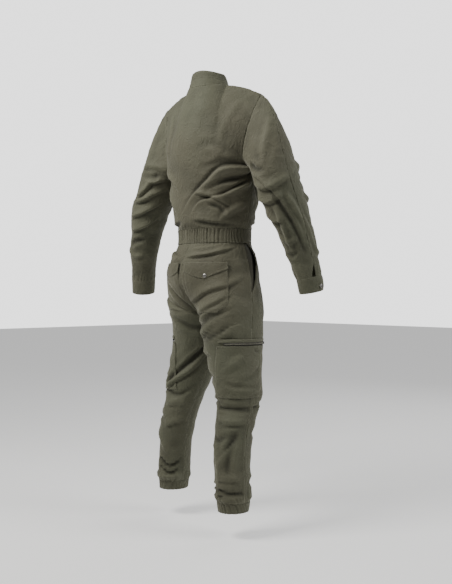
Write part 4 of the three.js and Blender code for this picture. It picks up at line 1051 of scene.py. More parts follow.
@dataclass(frozen=True)
class TwillFinish:
    """Olive cotton twill: its colours, among them a painted shade colour for fold troughs and a lighter
    colour for worn cloth and painted highlights on fold crests, its roughness and the depth of its weave.
    """

    name: str = "twill"
    # Painted shade colour, laid into the troughs of folds.
    deep: Colour = (0.034, 0.034, 0.023, 1.0)
    base: Colour = (0.086, 0.089, 0.058, 1.0)
    # Lighter colour for worn seams and random patches, and for the painted highlight on fold crests.
    faded_and_crest_lit: Colour = (0.150, 0.154, 0.105, 1.0)
    warm: Colour = (0.122, 0.090, 0.066, 1.0)
    roughness: float = 0.74
    sheen: float = 0.4
    weave: float = 0.22
    rumple: float = 0.5

    def material(self, groups: dict[str, bpy.types.NodeTree]) -> bpy.types.Material:
        """Make the material.

        Args:
            groups: The shared groups by name.

        Returns:
            The material.
        """
        made = bpy.data.materials.new(self.name)
        made.use_nodes = True
        tree = made.node_tree
        shader = tree.nodes["Principled BSDF"]
        graph = Graph(tree)
        chart = graph.node("ShaderNodeUVMap", uv_map="cloth").outputs[0]
        weave = graph.node("ShaderNodeGroup", node_tree=groups["weave"])
        tree.links.new(chart, weave.inputs["Map"])
        fade_and_shade = graph.node("ShaderNodeGroup", node_tree=groups["fade_and_shade"])
        # Lighter where worn, and a painted highlight on fold crests.
        tone = graph.blend(fade_and_shade.outputs["Light"], self.base, self.faded_and_crest_lit)
        tone = graph.blend(graph.math("MULTIPLY", fade_and_shade.outputs["Warm"], 0.24), tone, self.warm)
        # Painted shade in the troughs of folds.
        tone = graph.blend(fade_and_shade.outputs["Dark"], tone, self.deep)
        shade = weave.outputs["Shade"]
        grey = graph.node("ShaderNodeCombineColor", {0: shade, 1: shade, 2: shade}).outputs[0]
        tree.links.new(graph.blend(1.0, tone, grey, "MULTIPLY"), shader.inputs["Base Color"])
        rough = graph.math("SUBTRACT", self.roughness, graph.math("MULTIPLY", fade_and_shade.outputs["Light"], 0.12))
        tree.links.new(rough, shader.inputs["Roughness"])
        rumple = graph.bump(self.rumple, 0.006, fade_and_shade.outputs["Rumple"])
        bump = graph.bump(self.weave, 0.0006, weave.outputs["Height"])
        tree.links.new(rumple.outputs[0], bump.inputs["Normal"])
        tree.links.new(bump.outputs[0], shader.inputs["Normal"])
        shader.inputs["Sheen Weight"].default_value = self.sheen
        shader.inputs["Sheen Roughness"].default_value = 0.45
        shader.inputs["Sheen Tint"].default_value = (0.80, 0.78, 0.66, 1.0)
        shader.inputs["Specular IOR Level"].default_value = 0.28
        return made


@dataclass(frozen=True)
class ThreadFinish:
    """Sewing thread: a twisted yarn with a soft gloss."""

    name: str = "thread"
    dark: Colour = (0.085, 0.080, 0.056, 1.0)
    light: Colour = (0.210, 0.198, 0.150, 1.0)

    def material(self) -> bpy.types.Material:
        """Make the material."""
        made = bpy.data.materials.new(self.name)
        made.use_nodes = True
        tree = made.node_tree
        shader = tree.nodes["Principled BSDF"]
        graph = Graph(tree)
        place = graph.node("ShaderNodeTexCoord").outputs["Object"]
        ply = graph.noise(place, 600.0, 2.0)
        tree.links.new(graph.blend(ply, self.dark, self.light), shader.inputs["Base Color"])
        bump = graph.bump(0.3, 0.0003, ply)
        tree.links.new(bump.outputs[0], shader.inputs["Normal"])
        shader.inputs["Roughness"].default_value = 0.55
        shader.inputs["Sheen Weight"].default_value = 0.2
        return made


@dataclass(frozen=True)
class TapeFinish:
    """Woven polyester tape of a zip: ribs along its length."""

    name: str = "zip_tape"
    dark: Colour = (0.014, 0.014, 0.011, 1.0)
    light: Colour = (0.048, 0.048, 0.037, 1.0)

    def material(self) -> bpy.types.Material:
        """Make the material."""
        made = bpy.data.materials.new(self.name)
        made.use_nodes = True
        tree = made.node_tree
        shader = tree.nodes["Principled BSDF"]
        graph = Graph(tree)
        chart = graph.node("ShaderNodeUVMap", uv_map="cloth").outputs[0]
        rib = graph.node(
            "ShaderNodeTexWave", {"Vector": chart, "Scale": 420.0, "Distortion": 0.5}, bands_direction="X"
        ).outputs[1]
        lint = graph.noise(chart, 260.0, 4.0)
        tone = graph.blend(graph.math("MULTIPLY", rib, lint), self.dark, self.light)
        tree.links.new(tone, shader.inputs["Base Color"])
        bump = graph.bump(0.3, 0.0004, rib)
        tree.links.new(bump.outputs[0], shader.inputs["Normal"])
        shader.inputs["Roughness"].default_value = 0.7
        return made


@dataclass(frozen=True)
class MetalFinish:
    """Plated metal with rubbed edges and fine scratches."""

    name: str
    base: Colour
    worn: Colour
    roughness: float

    def material(self) -> bpy.types.Material:
        """Make the material."""
        made = bpy.data.materials.new(self.name)
        made.use_nodes = True
        tree = made.node_tree
        shader = tree.nodes["Principled BSDF"]
        graph = Graph(tree)
        place = graph.node("ShaderNodeTexCoord").outputs["Object"]
        patch = graph.noise(place, 160.0, 5.0, Roughness=0.7)
        scratch = graph.noise(place, 900.0, 3.0)
        rubbed = graph.ramp(patch, ((0.48, 0.0), (0.72, 1.0)))
        tree.links.new(graph.blend(rubbed, self.base, self.worn), shader.inputs["Base Color"])
        rough = graph.math("ADD", self.roughness, graph.math("MULTIPLY", scratch, 0.18))
        tree.links.new(rough, shader.inputs["Roughness"])
        bump = graph.bump(0.12, 0.0002, scratch)
        tree.links.new(bump.outputs[0], shader.inputs["Normal"])
        shader.inputs["Metallic"].default_value = 1.0
        return made


class Wardrobe:
    """All materials of the suit."""

    def __init__(self) -> None:
        """Make the shared groups and every material."""
        groups = {"weave": weave_group(), "fade_and_shade": fade_and_shade_group()}
        self.twill = TwillFinish().material(groups)
        # A darker copy of the twill for the slashed pocket's facing: its darkness is painted shade inside the
        # pocket, and its nearly black fold colour paints the shade far under the front's edge.
        self.shaded_twill = TwillFinish(
            name="pocketing", deep=(0.008, 0.008, 0.006, 1), base=(0.058, 0.057, 0.038, 1),
            faded_and_crest_lit=(0.095, 0.093, 0.064, 1), warm=(0.060, 0.050, 0.036, 1), sheen=0.2,
        ).material(groups)
        self.thread = ThreadFinish().material()
        self.tape = TapeFinish().material()
        self.gunmetal = MetalFinish(
            "gunmetal", (0.045, 0.045, 0.048, 1), (0.20, 0.19, 0.17, 1), 0.34
        ).material()
        self.chain = MetalFinish("chain", (0.27, 0.26, 0.21, 1), (0.42, 0.41, 0.35, 1), 0.5).material()
        self.nickel = MetalFinish("nickel", (0.36, 0.35, 0.33, 1), (0.62, 0.60, 0.56, 1), 0.27).material()

    @staticmethod
    def dress(piece: bpy.types.Object, material: bpy.types.Material, slot: str) -> None:
        """Give a piece its only material."""
        piece.data.materials.clear()
        piece.data.materials.append(material)


# ---------------------------------------------------------------------------------------------------
# Small made parts: stitches, snaps and bar tacks
# ---------------------------------------------------------------------------------------------------


def placed(points: np.ndarray) -> np.ndarray:
    """Points of the layout in metres about the collar seam."""
    return (points - np.array((0, 0, ORIGIN_HEIGHT))) * MM


def finished(work: bmesh.types.BMesh, name: str, body: str = "suit") -> bpy.types.Object:
    """Turn a bmesh into a smooth object that rides on a body."""
    mesh = bpy.data.meshes.new(name)
    work.to_mesh(mesh)
    work.free()
    mesh.polygons.foreach_set("use_smooth", np.ones(len(mesh.polygons), dtype=bool))
    piece = bpy.data.objects.new(name, mesh)
    bpy.context.scene.collection.objects.link(piece)
    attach(piece, body)
    return piece


def set_down(point: np.ndarray, along: np.ndarray, normal: np.ndarray, size: np.ndarray) -> Matrix:
    """Matrix that lays a unit shape on the cloth.

    Args:
        point: Its middle in millimetres.
        along: Direction of its length.
        normal: Direction away from the cloth.
        size: Its scale along, across and away from the cloth, in millimetres.

    Returns:
        The matrix, in metres.
    """
    axes = np.stack([along * size[0], np.cross(normal, along) * size[1], normal * size[2]], axis=1) * MM
    return Matrix(np.block([[axes, placed(point)[:, None]], [np.zeros((1, 3)), 1.0]]).tolist())


def pour(run: bmesh.types.BMesh, work: bmesh.types.BMesh) -> bmesh.types.BMesh:
    """Empty one bmesh into another and give back a fresh one: operators stay quick on short runs."""
    scrap = bpy.data.meshes.new("scrap")
    run.to_mesh(scrap)
    run.free()
    work.from_mesh(scrap)
    bpy.data.meshes.remove(scrap)
    return bmesh.new()


@dataclass
class Stitching:
    """All stitches of one part of the suit: short threads that sink into the cloth at both ends."""

    name: str
    pitch: float = 3.4
    length: float = 2.7
    thick: float = 0.62
    lines: list[Line] = field(default_factory=list)

    def add(self, *lines: Line) -> None:
        """Sew along more lines."""
        self.lines.extend(lines)

    def rows(
        self, panel: Panel, edge: Edge, insets: tuple[float, ...], start: float = 0.0, end: float = 1.0
    ) -> None:
        """Sew rows beside an edge of a panel."""
        self.add(*(panel.beside(edge, inset, start, end) for inset in insets))

    def build(self, wardrobe: Wardrobe) -> bpy.types.Object:
        """Make every stitch."""
        work = bmesh.new()
        run = bmesh.new()
        for line in self.lines:
            for point, along, normal in zip(*line.evenly(self.pitch)):
                size = np.array((self.length, self.thick, self.thick)) / 2
                place = set_down(point + normal * 0.12, along, normal, size)
                bmesh.ops.create_icosphere(run, subdivisions=1, radius=1.0, matrix=place)
                if len(run.verts) > 500:
                    run = pour(run, work)
        pour(run, work).free()
        piece = finished(work, self.name)
        wardrobe.dress(piece, wardrobe.thread, "twill")
        return piece


@dataclass(frozen=True)
class SnapCap:
    """The pressed cap of a snap: a low dome with a rolled rim and a ring socket under it."""

    name: str
    node: str
    radius: float = 7.0
    height: float = 3.0

    def build(self, wardrobe: Wardrobe) -> bpy.types.Object:
        """Spin the cap where its CAD node is."""
        low, high = (np.array(corner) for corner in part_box(self.node))
        centre = (low + high) / 2
        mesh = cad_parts[self.node].data
        normals = np.empty(len(mesh.polygons) * 3)
        mesh.polygons.foreach_get("normal", normals)
        areas = np.empty(len(mesh.polygons))
        mesh.polygons.foreach_get("area", areas)
        out = self._axis(normals.reshape(-1, 3), areas)
        profile = (
            (0.0, 1.00), (0.30, 0.985), (0.55, 0.93), (0.70, 0.84), (0.76, 0.74), (0.80, 0.70), (0.86, 0.74),
            (0.94, 0.72), (0.99, 0.60), (1.00, 0.45), (0.97, 0.28), (0.90, 0.16), (0.90, 0.0), (0.0, 0.0),
        )
        work = bmesh.new()
        verts = [work.verts.new((r * self.radius * MM, 0.0, h * self.height * MM)) for r, h in profile]
        edges = [work.edges.new(pair) for pair in zip(verts, verts[1:])]
        bmesh.ops.spin(
            work, geom=verts + edges, cent=(0, 0, 0), axis=(0, 0, 1), dvec=(0, 0, 0),
            angle=2 * math.pi, steps=28, use_merge=True,
        )
        bmesh.ops.remove_doubles(work, verts=work.verts, dist=1e-6)
        bmesh.ops.recalc_face_normals(work, faces=work.faces)
        turn = Vector((0, 0, 1)).rotation_difference(Vector(out)).to_matrix().to_4x4()
        base = Vector(centre) - Vector(out) * (self.height / 2 * MM)
        bmesh.ops.transform(work, matrix=Matrix.Translation(base) @ turn, verts=work.verts)
        piece = finished(work, self.name)
        wardrobe.dress(piece, wardrobe.nickel, "snap_metal")
        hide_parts(self.node)
        return piece

    @staticmethod
    def _axis(normals: np.ndarray, areas: np.ndarray) -> np.ndarray:
        """Direction in which a cap faces: the opposite of its one large flat face."""
        groups: dict[tuple[float, ...], float] = {}
        for normal, area in zip(np.round(normals, 2), areas):
            key = tuple(normal)
            groups[key] = groups.get(key, 0.0) + area
        return -unit(np.array(max(groups, key=groups.get)))


def bar_tack(line: Line, width: float) -> list[Line]:
    """Close zigzag threads across a short line."""
    points, along, normals = line.evenly(0.75)
    across = np.cross(normals, along)
    return [
        Line(np.stack([p - c * width / 2, p + c * width / 2]) + n * 0.35, np.stack([n, n]))
        for p, c, n in zip(points, across, normals)
    ]


# ---------------------------------------------------------------------------------------------------
# Sub-assemblies
# ---------------------------------------------------------------------------------------------------


def cut_sheet(
    piece: bpy.types.Object, node: str
) -> None:
    """Let a panel stand for its CAD node by hiding the node.

    Args:
        piece: Its object; not used.
        node: CAD node that it replaces, or empty.
    """
    if node:
        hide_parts(node)


def heart_of_trunk(v: np.ndarray) -> np.ndarray:
    """Points inside the bodice at its rows."""
    z = np.where(v <= 1, mix(WAISTBAND_TOP, ARMPIT, v), mix(1120.0, 1290.0, v - 1))
    return stack(0.0, 14.0, z)


@dataclass
class Bodice:
    """Back bodice and the two front bodices, which blouse over the waistband."""

    wardrobe: Wardrobe
    back_creases: tuple[Crease, ...] = (
        Crease(
            ((-0.97, 1.01), (-0.73, 1.00), (-0.44, 0.96), (-0.26, 0.76), (-0.04, 0.52), (0.17, 0.20)),
            15, 8.5, Fold.LAP, (0.12, 0.4),
        ),
        Crease(((-0.86, 1.13), (-0.49, 1.09), (-0.20, 1.02)), 11, -2.6),
        Crease(
            ((-0.98, 0.92), (-0.80, 0.85), (-0.47, 0.77), (-0.20, 0.60)), 11, -6.5, Fold.TROUGH, (0.1, 0.5)
        ),
        Crease(((-0.06, 0.60), (-0.41, 0.50), (-0.70, 0.32)), 10, 6.5, Fold.LAP),
        Crease(
            ((-0.96, 0.78), (-0.71, 0.65), (-0.48, 0.52), (-0.17, 0.43), (-0.02, 0.16)),
            10, 6.5, Fold.LAP, (0.1, 0.5),
        ),
        Crease(((-0.97, 0.84), (-0.78, 0.74), (-0.58, 0.64)), 7, -4.5, Fold.TROUGH, (0.1, 0.5)),
        Crease(((-0.30, 0.40), (-0.50, 0.33), (-0.62, 0.17)), 8, -4.5),
        Crease(((-0.05, 0.13), (-0.45, 0.055), (-0.92, 0.05)), 9, -5),
        Crease(((-0.95, 0.42), (-0.70, 0.30), (-0.50, 0.10)), 12, 5, Fold.RIDGE),
        Crease(((0.96, 1.0), (0.70, 1.02), (0.42, 0.86), (0.20, 0.60)), 14, 7.5, Fold.LAP),
        Crease(((0.96, 0.84), (0.68, 0.70), (0.42, 0.44), (0.22, 0.15)), 14, 6, Fold.LAP),
        Crease(((0.90, 0.52), (0.62, 0.34), (0.50, 0.10)), 12, -5.5),
        Crease(((0.10, 0.13), (0.48, 0.055), (0.90, 0.07)), 9, -5),
        Crease(((-0.82, 1.72), (-0.62, 1.50), (-0.52, 1.25)), 15, 2.0, Fold.RIDGE),
        Crease(((0.82, 1.70), (0.66, 1.46), (0.58, 1.22)), 14, 3.5, Fold.RIDGE),
        Crease(((-0.10, 1.88), (-0.16, 1.62), (-0.10, 1.38)), 22, 0.6, Fold.RIDGE),
        Crease(((0.14, 1.90), (0.20, 1.60), (0.12, 1.30)), 22, 0.8, Fold.RIDGE),
        Crease(((-0.60, 1.20), (-0.36, 1.22), (-0.10, 1.16)), 15, 2.0, Fold.RIDGE),
    )
    front_creases: tuple[Crease, ...] = (
        Crease(((0.96, 1.0), (0.68, 0.98), (0.42, 0.74), (0.26, 0.44)), 14, 7, Fold.LAP),
        Crease(((0.96, 0.80), (0.70, 0.62), (0.44, 0.34), (0.34, 0.12)), 13, 6, Fold.LAP),
        Crease(((0.90, 0.48), (0.62, 0.30), (0.50, 0.10)), 12, -5),
        Crease(((0.12, 0.14), (0.48, 0.06), (0.90, 0.06)), 9, -5),
        Crease(((0.86, 1.60), (0.66, 1.40), (0.56, 1.14)), 15, 4, Fold.RIDGE),
        Crease(((0.10, 1.20), (0.14, 0.80), (0.10, 0.40)), 15, 3, Fold.RIDGE),
    )

    def build(self, thread: Stitching) -> None:
        """Make the three panels and sew them."""
        left, right = Form(Side.LEFT), Form(Side.RIGHT)

        def whole(u: np.ndarray, v: np.ndarray) -> np.ndarray:
            """Back from side to side, its first number negative on the right."""
            on_left = left.bodice(np.abs(u), v, True)
            return np.where((u < 0)[..., None], right.bodice(np.abs(u), v, True), on_left)

        back = Panel(
            "back_bodice_cloth", whole, ruled(lambda a, v: mix(-1.0, 1.0, a), (0.0, 2.0)), heart_of_trunk,
            creases=self.back_creases, seed=3,
            seams=(
                *like_seams(SIDES, rise=0.3, dip=0.8), Seam(Edge.LAST_ROW, rise=0.2),
                Seam(Edge.FIRST_ROW, lap=5, rise=0.0, dip=0.8, pucker=0.0),
            ),
            swells=(
                swell((95, 95, 70), 2.0, 11), crinkle((46, 46, 34), 1.0, 12),
                gathers(Edge.FIRST_ROW, 13.5, 2.3, 26, 5), swell((38, 38, 24), 1.4, 13),
            ),
        )
        cut_sheet(self._piece(back), "back_bodice")
        for side in Side:
            form = Form(side)
            front = Panel(
                f"front_bodice_{side.word}_cloth", lambda u, v, f=form: f.bodice(u, v, False),
                ruled(lambda a, v: mix(FLY_TURN, 1.0, a), (0.0, 2.0)), heart_of_trunk,
                creases=self.front_creases, seed=7 + int(side.value),
                seams=(
                    Seam(Edge.FIRST_COLUMN, lap=9, rise=0.8, pucker=0.35), Seam(Edge.LAST_COLUMN, rise=0.9),
                    Seam(Edge.LAST_ROW, rise=0.8), Seam(Edge.FIRST_ROW, lap=5, rise=0.0, dip=0.8, pucker=0.0),
                ),
                swells=(
                    swell((90, 90, 70), 2.4, 21 + int(side.value)), crinkle((46, 46, 34), 0.8, 23),
                    gathers(Edge.FIRST_ROW, 15.0, 1.8, 22, 6), swell((38, 38, 24), 0.9, 25),
                ),
            )
            cut_sheet(self._piece(front), f"front_bodice_{side.word}")
            thread.rows(front, Edge.FIRST_COLUMN, (3.0, 9.0))
            thread.rows(front, Edge.LAST_COLUMN, (2.2, 8.2), 0.0, 0.42)
            thread.rows(front, Edge.LAST_ROW, (2.2, 8.2), 0.5, 1.0)
            thread.rows(front, Edge.LAST_COLUMN, (3.5,), 0.43, 1.0)
        thread.rows(back, Edge.FIRST_COLUMN, (3.5, 9.5), 0.43, 1.0)
        thread.rows(back, Edge.LAST_COLUMN, (3.5, 9.5), 0.43, 1.0)

    def _piece(self, panel: Panel) -> bpy.types.Object:
        """Build and dress one panel."""
        piece = panel.build()
        self.wardrobe.dress(piece, self.wardrobe.twill, "twill")
        return piece


@dataclass
class Sleeve:
    """Top and under sleeve of one side, with the slit that runs into the cuff, and the cuff."""

    wardrobe: Wardrobe
    side: Side
    slit_top: float = 1.76
    slit_width: float = 0.1
    cuff_lap: float = 0.22
    right_creases: tuple[Crease, ...] = (
        Crease(((0.54, 1.18), (0.63, 1.29), (0.70, 1.45), (0.76, 1.72)), 9, -6.5),
        Crease(((0.74, 1.18), (0.79, 1.28), (0.91, 1.46), (1.08, 1.70)), 11, 6, Fold.RIDGE),
        Crease(((0.48, 1.24), (0.53, 1.34), (0.50, 1.49), (0.55, 1.74)), 9, 4.5, Fold.RIDGE),
        Crease(((0.28, 0.96), (0.47, 1.06), (0.62, 1.19), (0.70, 1.30)), 11, 6, Fold.LAP),
        Crease(((0.16, 1.02), (0.46, 1.12), (0.80, 1.10), (1.10, 1.02)), 13, 6, Fold.LAP),
        Crease(((0.14, 1.14), (0.42, 1.22), (0.74, 1.20)), 12, 6, Fold.LAP),
        Crease(((0.12, 1.26), (0.40, 1.36), (0.62, 1.34)), 11, 5.5, Fold.LAP),
        Crease(((0.30, 1.48), (0.52, 1.54), (0.76, 1.50)), 11, 4, Fold.RIDGE),
        Crease(((0.18, 1.60), (0.44, 1.66), (0.66, 1.62)), 10, -4),
        Crease(((1.10, 0.98), (1.36, 1.06), (1.62, 1.04)), 13, 7, Fold.RIDGE),
        Crease(((1.08, 1.10), (1.34, 1.20), (1.66, 1.20)), 12, -6),
        Crease(((1.06, 1.24), (1.36, 1.34), (1.70, 1.32)), 13, 6, Fold.LAP),
        Crease(((0.80, 0.30), (0.62, 0.62), (0.56, 0.92)), 15, 3.5, Fold.RIDGE),
        Crease(((1.22, 0.24), (1.30, 0.58), (1.26, 0.92)), 15, 3.5, Fold.RIDGE),
        Crease(((0.34, 0.55), (0.42, 0.86), (0.62, 1.02)), 11, -4.5),
        Crease(((1.00, 1.62), (1.14, 1.70), (1.34, 1.72)), 10, 3.5, Fold.RIDGE),
    )
    left_creases: tuple[Crease, ...] = (
        Crease(((0.66, 0.92), (0.50, 0.76), (0.33, 0.52), (0.20, 0.40)), 13, -4.5),
        Crease(((0.72, 1.18), (0.52, 1.12), (0.34, 0.94), (0.15, 0.56)), 12, 7, Fold.LAP),
        Crease(((0.74, 1.24), (0.48, 1.17), (0.28, 1.08), (0.08, 1.02)), 11, 6.5, Fold.LAP),
        Crease(((0.70, 1.34), (0.42, 1.26), (0.26, 1.18), (0.06, 1.09)), 11, 6.5, Fold.LAP),
        Crease(((0.68, 1.46), (0.39, 1.38), (0.21, 1.31), (0.03, 1.20)), 11, 5.5, Fold.LAP),
        Crease(((0.66, 1.56), (0.42, 1.50), (0.20, 1.46)), 10, -4.5),
        Crease(((0.22, 1.62), (0.52, 1.64), (0.86, 1.58)), 10, 4.0, Fold.RIDGE),
        Crease(((1.12, 1.04), (1.40, 1.14), (1.70, 1.16)), 13, 6, Fold.LAP),
        Crease(((1.08, 1.24), (1.36, 1.34), (1.70, 1.32)), 13, 6, Fold.LAP),
        Crease(((0.80, 0.26), (0.66, 0.58), (0.60, 0.90)), 15, 3.5, Fold.RIDGE),
        Crease(((1.22, 0.26), (1.28, 0.60), (1.22, 0.90)), 15, 3.5, Fold.RIDGE),
        Crease(((0.30, 0.60), (0.42, 0.84), (0.66, 0.98)), 11, -5),
    )

    def build(self, thread: Stitching) -> None:
        """Make both panels and the cuff, and sew them."""
        form = Form(self.side)
        name = self.side.word
        creases = self.right_creases if self.side is Side.RIGHT else self.left_creases

        def heart(v: np.ndarray) -> np.ndarray:
            """Middle of the sleeve at its rows."""
            around = np.linspace(0.0, 1.75, 8)
            rings = [form.sleeve(np.full_like(v, turn), v) for turn in around]
            return np.mean(rings, axis=0)

        def slit(v: np.ndarray) -> np.ndarray:
            """How far the under sleeve's edge stands back from the seam."""
            return self.slit_width * smooth((v - self.slit_top) / (CUFF_TOP - self.slit_top))

        swells = (
            swell((60, 60, 46), 2.5, 31 + int(self.side.value)), crinkle((36, 36, 26), 1.2, 33),
            gathers(Edge.LAST_ROW, 14.0, 2.2, 24, 8), swell((28, 28, 18), 1.1, 35),
        )
        sleeve_rows = (0.0, CUFF_TOP + 0.008)
        sleeve_ends = (
            Seam(Edge.FIRST_ROW, rise=0.4, dip=0.7),
            Seam(Edge.LAST_ROW, lap=4, rise=0.0, dip=0.7, pucker=0.0),
        )
        top = Panel(
            f"top_sleeve_{name}_cloth", form.sleeve,
            ruled(lambda a, v: mix(SLIT_TURN, FRONT_SEAM_TURN, a), sleeve_rows), heart,
            creases=creases, seed=41, swells=swells,
            seams=(
                Seam(Edge.FIRST_COLUMN, rise=0.8, dip=0.8), Seam(Edge.LAST_COLUMN, rise=0.6, dip=0.8),
                *sleeve_ends,
            ),
        )
        under = Panel(
            f"under_sleeve_{name}_cloth", form.sleeve,
            ruled(lambda a, v: mix(FRONT_SEAM_TURN, 2.0 + SLIT_TURN - slit(v), a), sleeve_rows), heart,
            creases=creases, seed=43, swells=swells,
            seams=(
                *like_seams(SIDES, rise=0.0, dip=0.8),
                *sleeve_ends,
            ),
        )
        for panel, node in ((top, f"top_sleeve_{name}"), (under, f"under_sleeve_{name}")):
            piece = panel.build()
            self.wardrobe.dress(piece, self.wardrobe.twill, "twill")
            cut_sheet(piece, node)
        thread.rows(top, Edge.FIRST_COLUMN, (2.0, 8.0))
        thread.rows(top, Edge.FIRST_ROW, (2.4,))
        thread.rows(under, Edge.FIRST_ROW, (2.4,))
        thread.rows(under, Edge.LAST_COLUMN, (2.6,), 0.93, 1.0)
        self._cuff(form, heart, thread)

    def _cuff(self, form: Form, heart: Callable[[np.ndarray], np.ndarray], thread: Stitching) -> None:
        """Make the cuff band, its snap and its stitching."""
        name = self.side.word

        def surface(past: np.ndarray, v: np.ndarray) -> np.ndarray:
            """The sleeve's form, by how far round from the slit."""
            return form.sleeve(np.mod(SLIT_TURN + past, 2.0), v)

        def lap(panel: Panel) -> np.ndarray:
            """The first end stands over the last one."""
            return 0.6 + 3.0 * (1 - smooth((panel.u - 1.2 * self.cuff_lap) / 0.4))

        cuff = Panel(
            f"cuff_{name}_cloth", surface,
            ruled(lambda a, v: a * (2.0 + self.cuff_lap), (CUFF_TOP + 0.003, 2.0)),
            heart, spacing=3.0, wall=2.2, seed=51,
            seams=(
                *like_seams(ENDS, lap=3, rise=0.3, dip=0.6, pucker=0.3),
                Seam(Edge.FIRST_COLUMN, lap=3, rise=0.2, dip=0.5, pucker=0.1),
            ),
            swells=(swell((30, 30, 20), 0.7, 53), lap),
        )
        piece = cuff.build()
        self.wardrobe.dress(piece, self.wardrobe.twill, "twill")
        cut_sheet(piece, f"cuff_{name}")
        thread.rows(cuff, Edge.FIRST_ROW, (2.2, 7.5))
        thread.rows(cuff, Edge.LAST_ROW, (2.2, 7.5))
        thread.rows(cuff, Edge.FIRST_COLUMN, (2.6,))
        SnapCap(f"cuff_snap_{name}_cap", f"cuff_snap_{name}").build(self.wardrobe)


@dataclass
class Collar:
    """Band collar that stands on the neck line, open at the front."""

    wardrobe: Wardrobe
    rows_below_top: tuple[float, ...] = (3.0, 10.0, 17.5, 25.0)

    def build(self, thread: Stitching) -> None:
        """Make the collar and its rows of stitching."""
        right, left = Form(Side.RIGHT), Form(Side.LEFT)
        middle = twisted(np.array((0.0, NECK.mid_y, ORIGIN_HEIGHT)))

        def surface(q: np.ndarray, share: np.ndarray) -> np.ndarray:
            """The band: q from the right end at -1 over the middle of the back to the left end at 1."""
            walk = np.abs(q)
            on_back = walk <= 0.5
            u = np.where(on_back, walk, NECK_SHARE - (walk - 0.5) * 2 * (NECK_SHARE - FLY_TURN))
            lines = [
                np.where((q < 0)[..., None], right.top_line(u, is_back), left.top_line(u, is_back))
                for is_back in (True, False)
            ]
            line = twisted(np.where(on_back[..., None], lines[0], lines[1]))
            out = line - middle
            out[..., 2] = 0.0
            out = unit(out)
            middle_height = np.where(on_back, NECK.collar_back, NECK.collar_front)
            tall = mix(middle_height, NECK.collar_side, smooth(u / NECK_SHARE))
            line[..., 2] += share * (tall + 2.2) - 2.2
            return line - out * (NECK.collar_lean * share)[..., None]

        collar = Panel(
            "collar_cloth", surface, ruled(lambda a, v: mix(-1.0, 1.0, a), (0.0, 1.0)),
            lambda v: stack(middle[0], middle[1], np.full_like(v, ORIGIN_HEIGHT + 30)),
            spacing=3.4, wall=2.2, seed=61,
            seams=(
                Seam(Edge.FIRST_ROW, lap=4, rise=0.3, dip=1.0, pucker=0.5),
                Seam(Edge.LAST_ROW, lap=3, rise=0.1, dip=0.7, pucker=0.15),
                *like_seams(SIDES, lap=4, rise=0.2, dip=0.6, pucker=0.1),
            ),
            swells=(swell((42, 42, 30), 1.3, 63), channels(Edge.LAST_ROW, self.rows_below_top, 1.5)),
        )
        piece = collar.build()
        self.wardrobe.dress(piece, self.wardrobe.twill, "twill")
        cut_sheet(piece, "collar")
        thread.rows(collar, Edge.LAST_ROW, self.rows_below_top)
        thread.rows(collar, Edge.FIRST_ROW, (2.6,))
        thread.rows(collar, Edge.FIRST_COLUMN, (2.6,))
        thread.rows(collar, Edge.LAST_COLUMN, (2.6,))


@dataclass
class Waistband:
    """Elastic gathered back half and two plain front halves."""

    wardrobe: Wardrobe
    back_gathers: int = 36
    back_half_length: float = 205.0

    def build(self, thread: Stitching) -> None:
        """Make the three bands."""
        left, right = Form(Side.LEFT), Form(Side.RIGHT)

        def whole(phi: np.ndarray, z: np.ndarray) -> np.ndarray:
            """Back half from side to side."""
            on_left = left.trunk(np.abs(phi), z)
            return twisted(np.where((phi < 0)[..., None], right.trunk(np.abs(phi), z), on_left))

        def heart(z: np.ndarray) -> np.ndarray:
            """Upright line in the middle of the trunk."""
            return stack(0.0, 0.0, z)

        band_rows = (WAISTBAND_TOP - 0.4, WAISTBAND_FOOT + 0.4)
        pitch = 2 * self.back_half_length / self.back_gathers
        back = Panel(
            "back_waistband_cloth", whole, ruled(lambda a, v: mix(-QUARTER, QUARTER, a), band_rows),
            heart, spacing=1.9, wall=2.2, seed=71,
            swells=(gathers(Edge.FIRST_ROW, pitch, 2.5, 20, 73, flat=0.9), swell((30, 30, 16), 0.9, 75)),
        )
        piece = back.build()
        self.wardrobe.dress(piece, self.wardrobe.twill, "twill")
        cut_sheet(piece, "back_waistband")
        thread.rows(back, Edge.FIRST_ROW, (3.0,))
        thread.rows(back, Edge.LAST_ROW, (3.0,))
        for side in Side:
            form = Form(side)
            front = Panel(
                f"front_waistband_{side.word}_cloth",
                lambda turn, z, f=form: twisted(f.trunk(turn * QUARTER, z)),
                ruled(lambda a, v: mix(1.0, 2.0 - FLY_TURN, a), band_rows), heart,
                spacing=3.2, wall=2.2, seed=77,
                seams=like_seams(ENDS, lap=4, rise=0.2, dip=0.7, pucker=0.4),
                swells=(swell((40, 40, 20), 0.9, 79),),
            )
            piece = front.build()
            self.wardrobe.dress(piece, self.wardrobe.twill, "twill")
            cut_sheet(piece, f"front_waistband_{side.word}")
            thread.rows(front, Edge.FIRST_ROW, (2.6,))
            thread.rows(front, Edge.LAST_ROW, (2.6,))


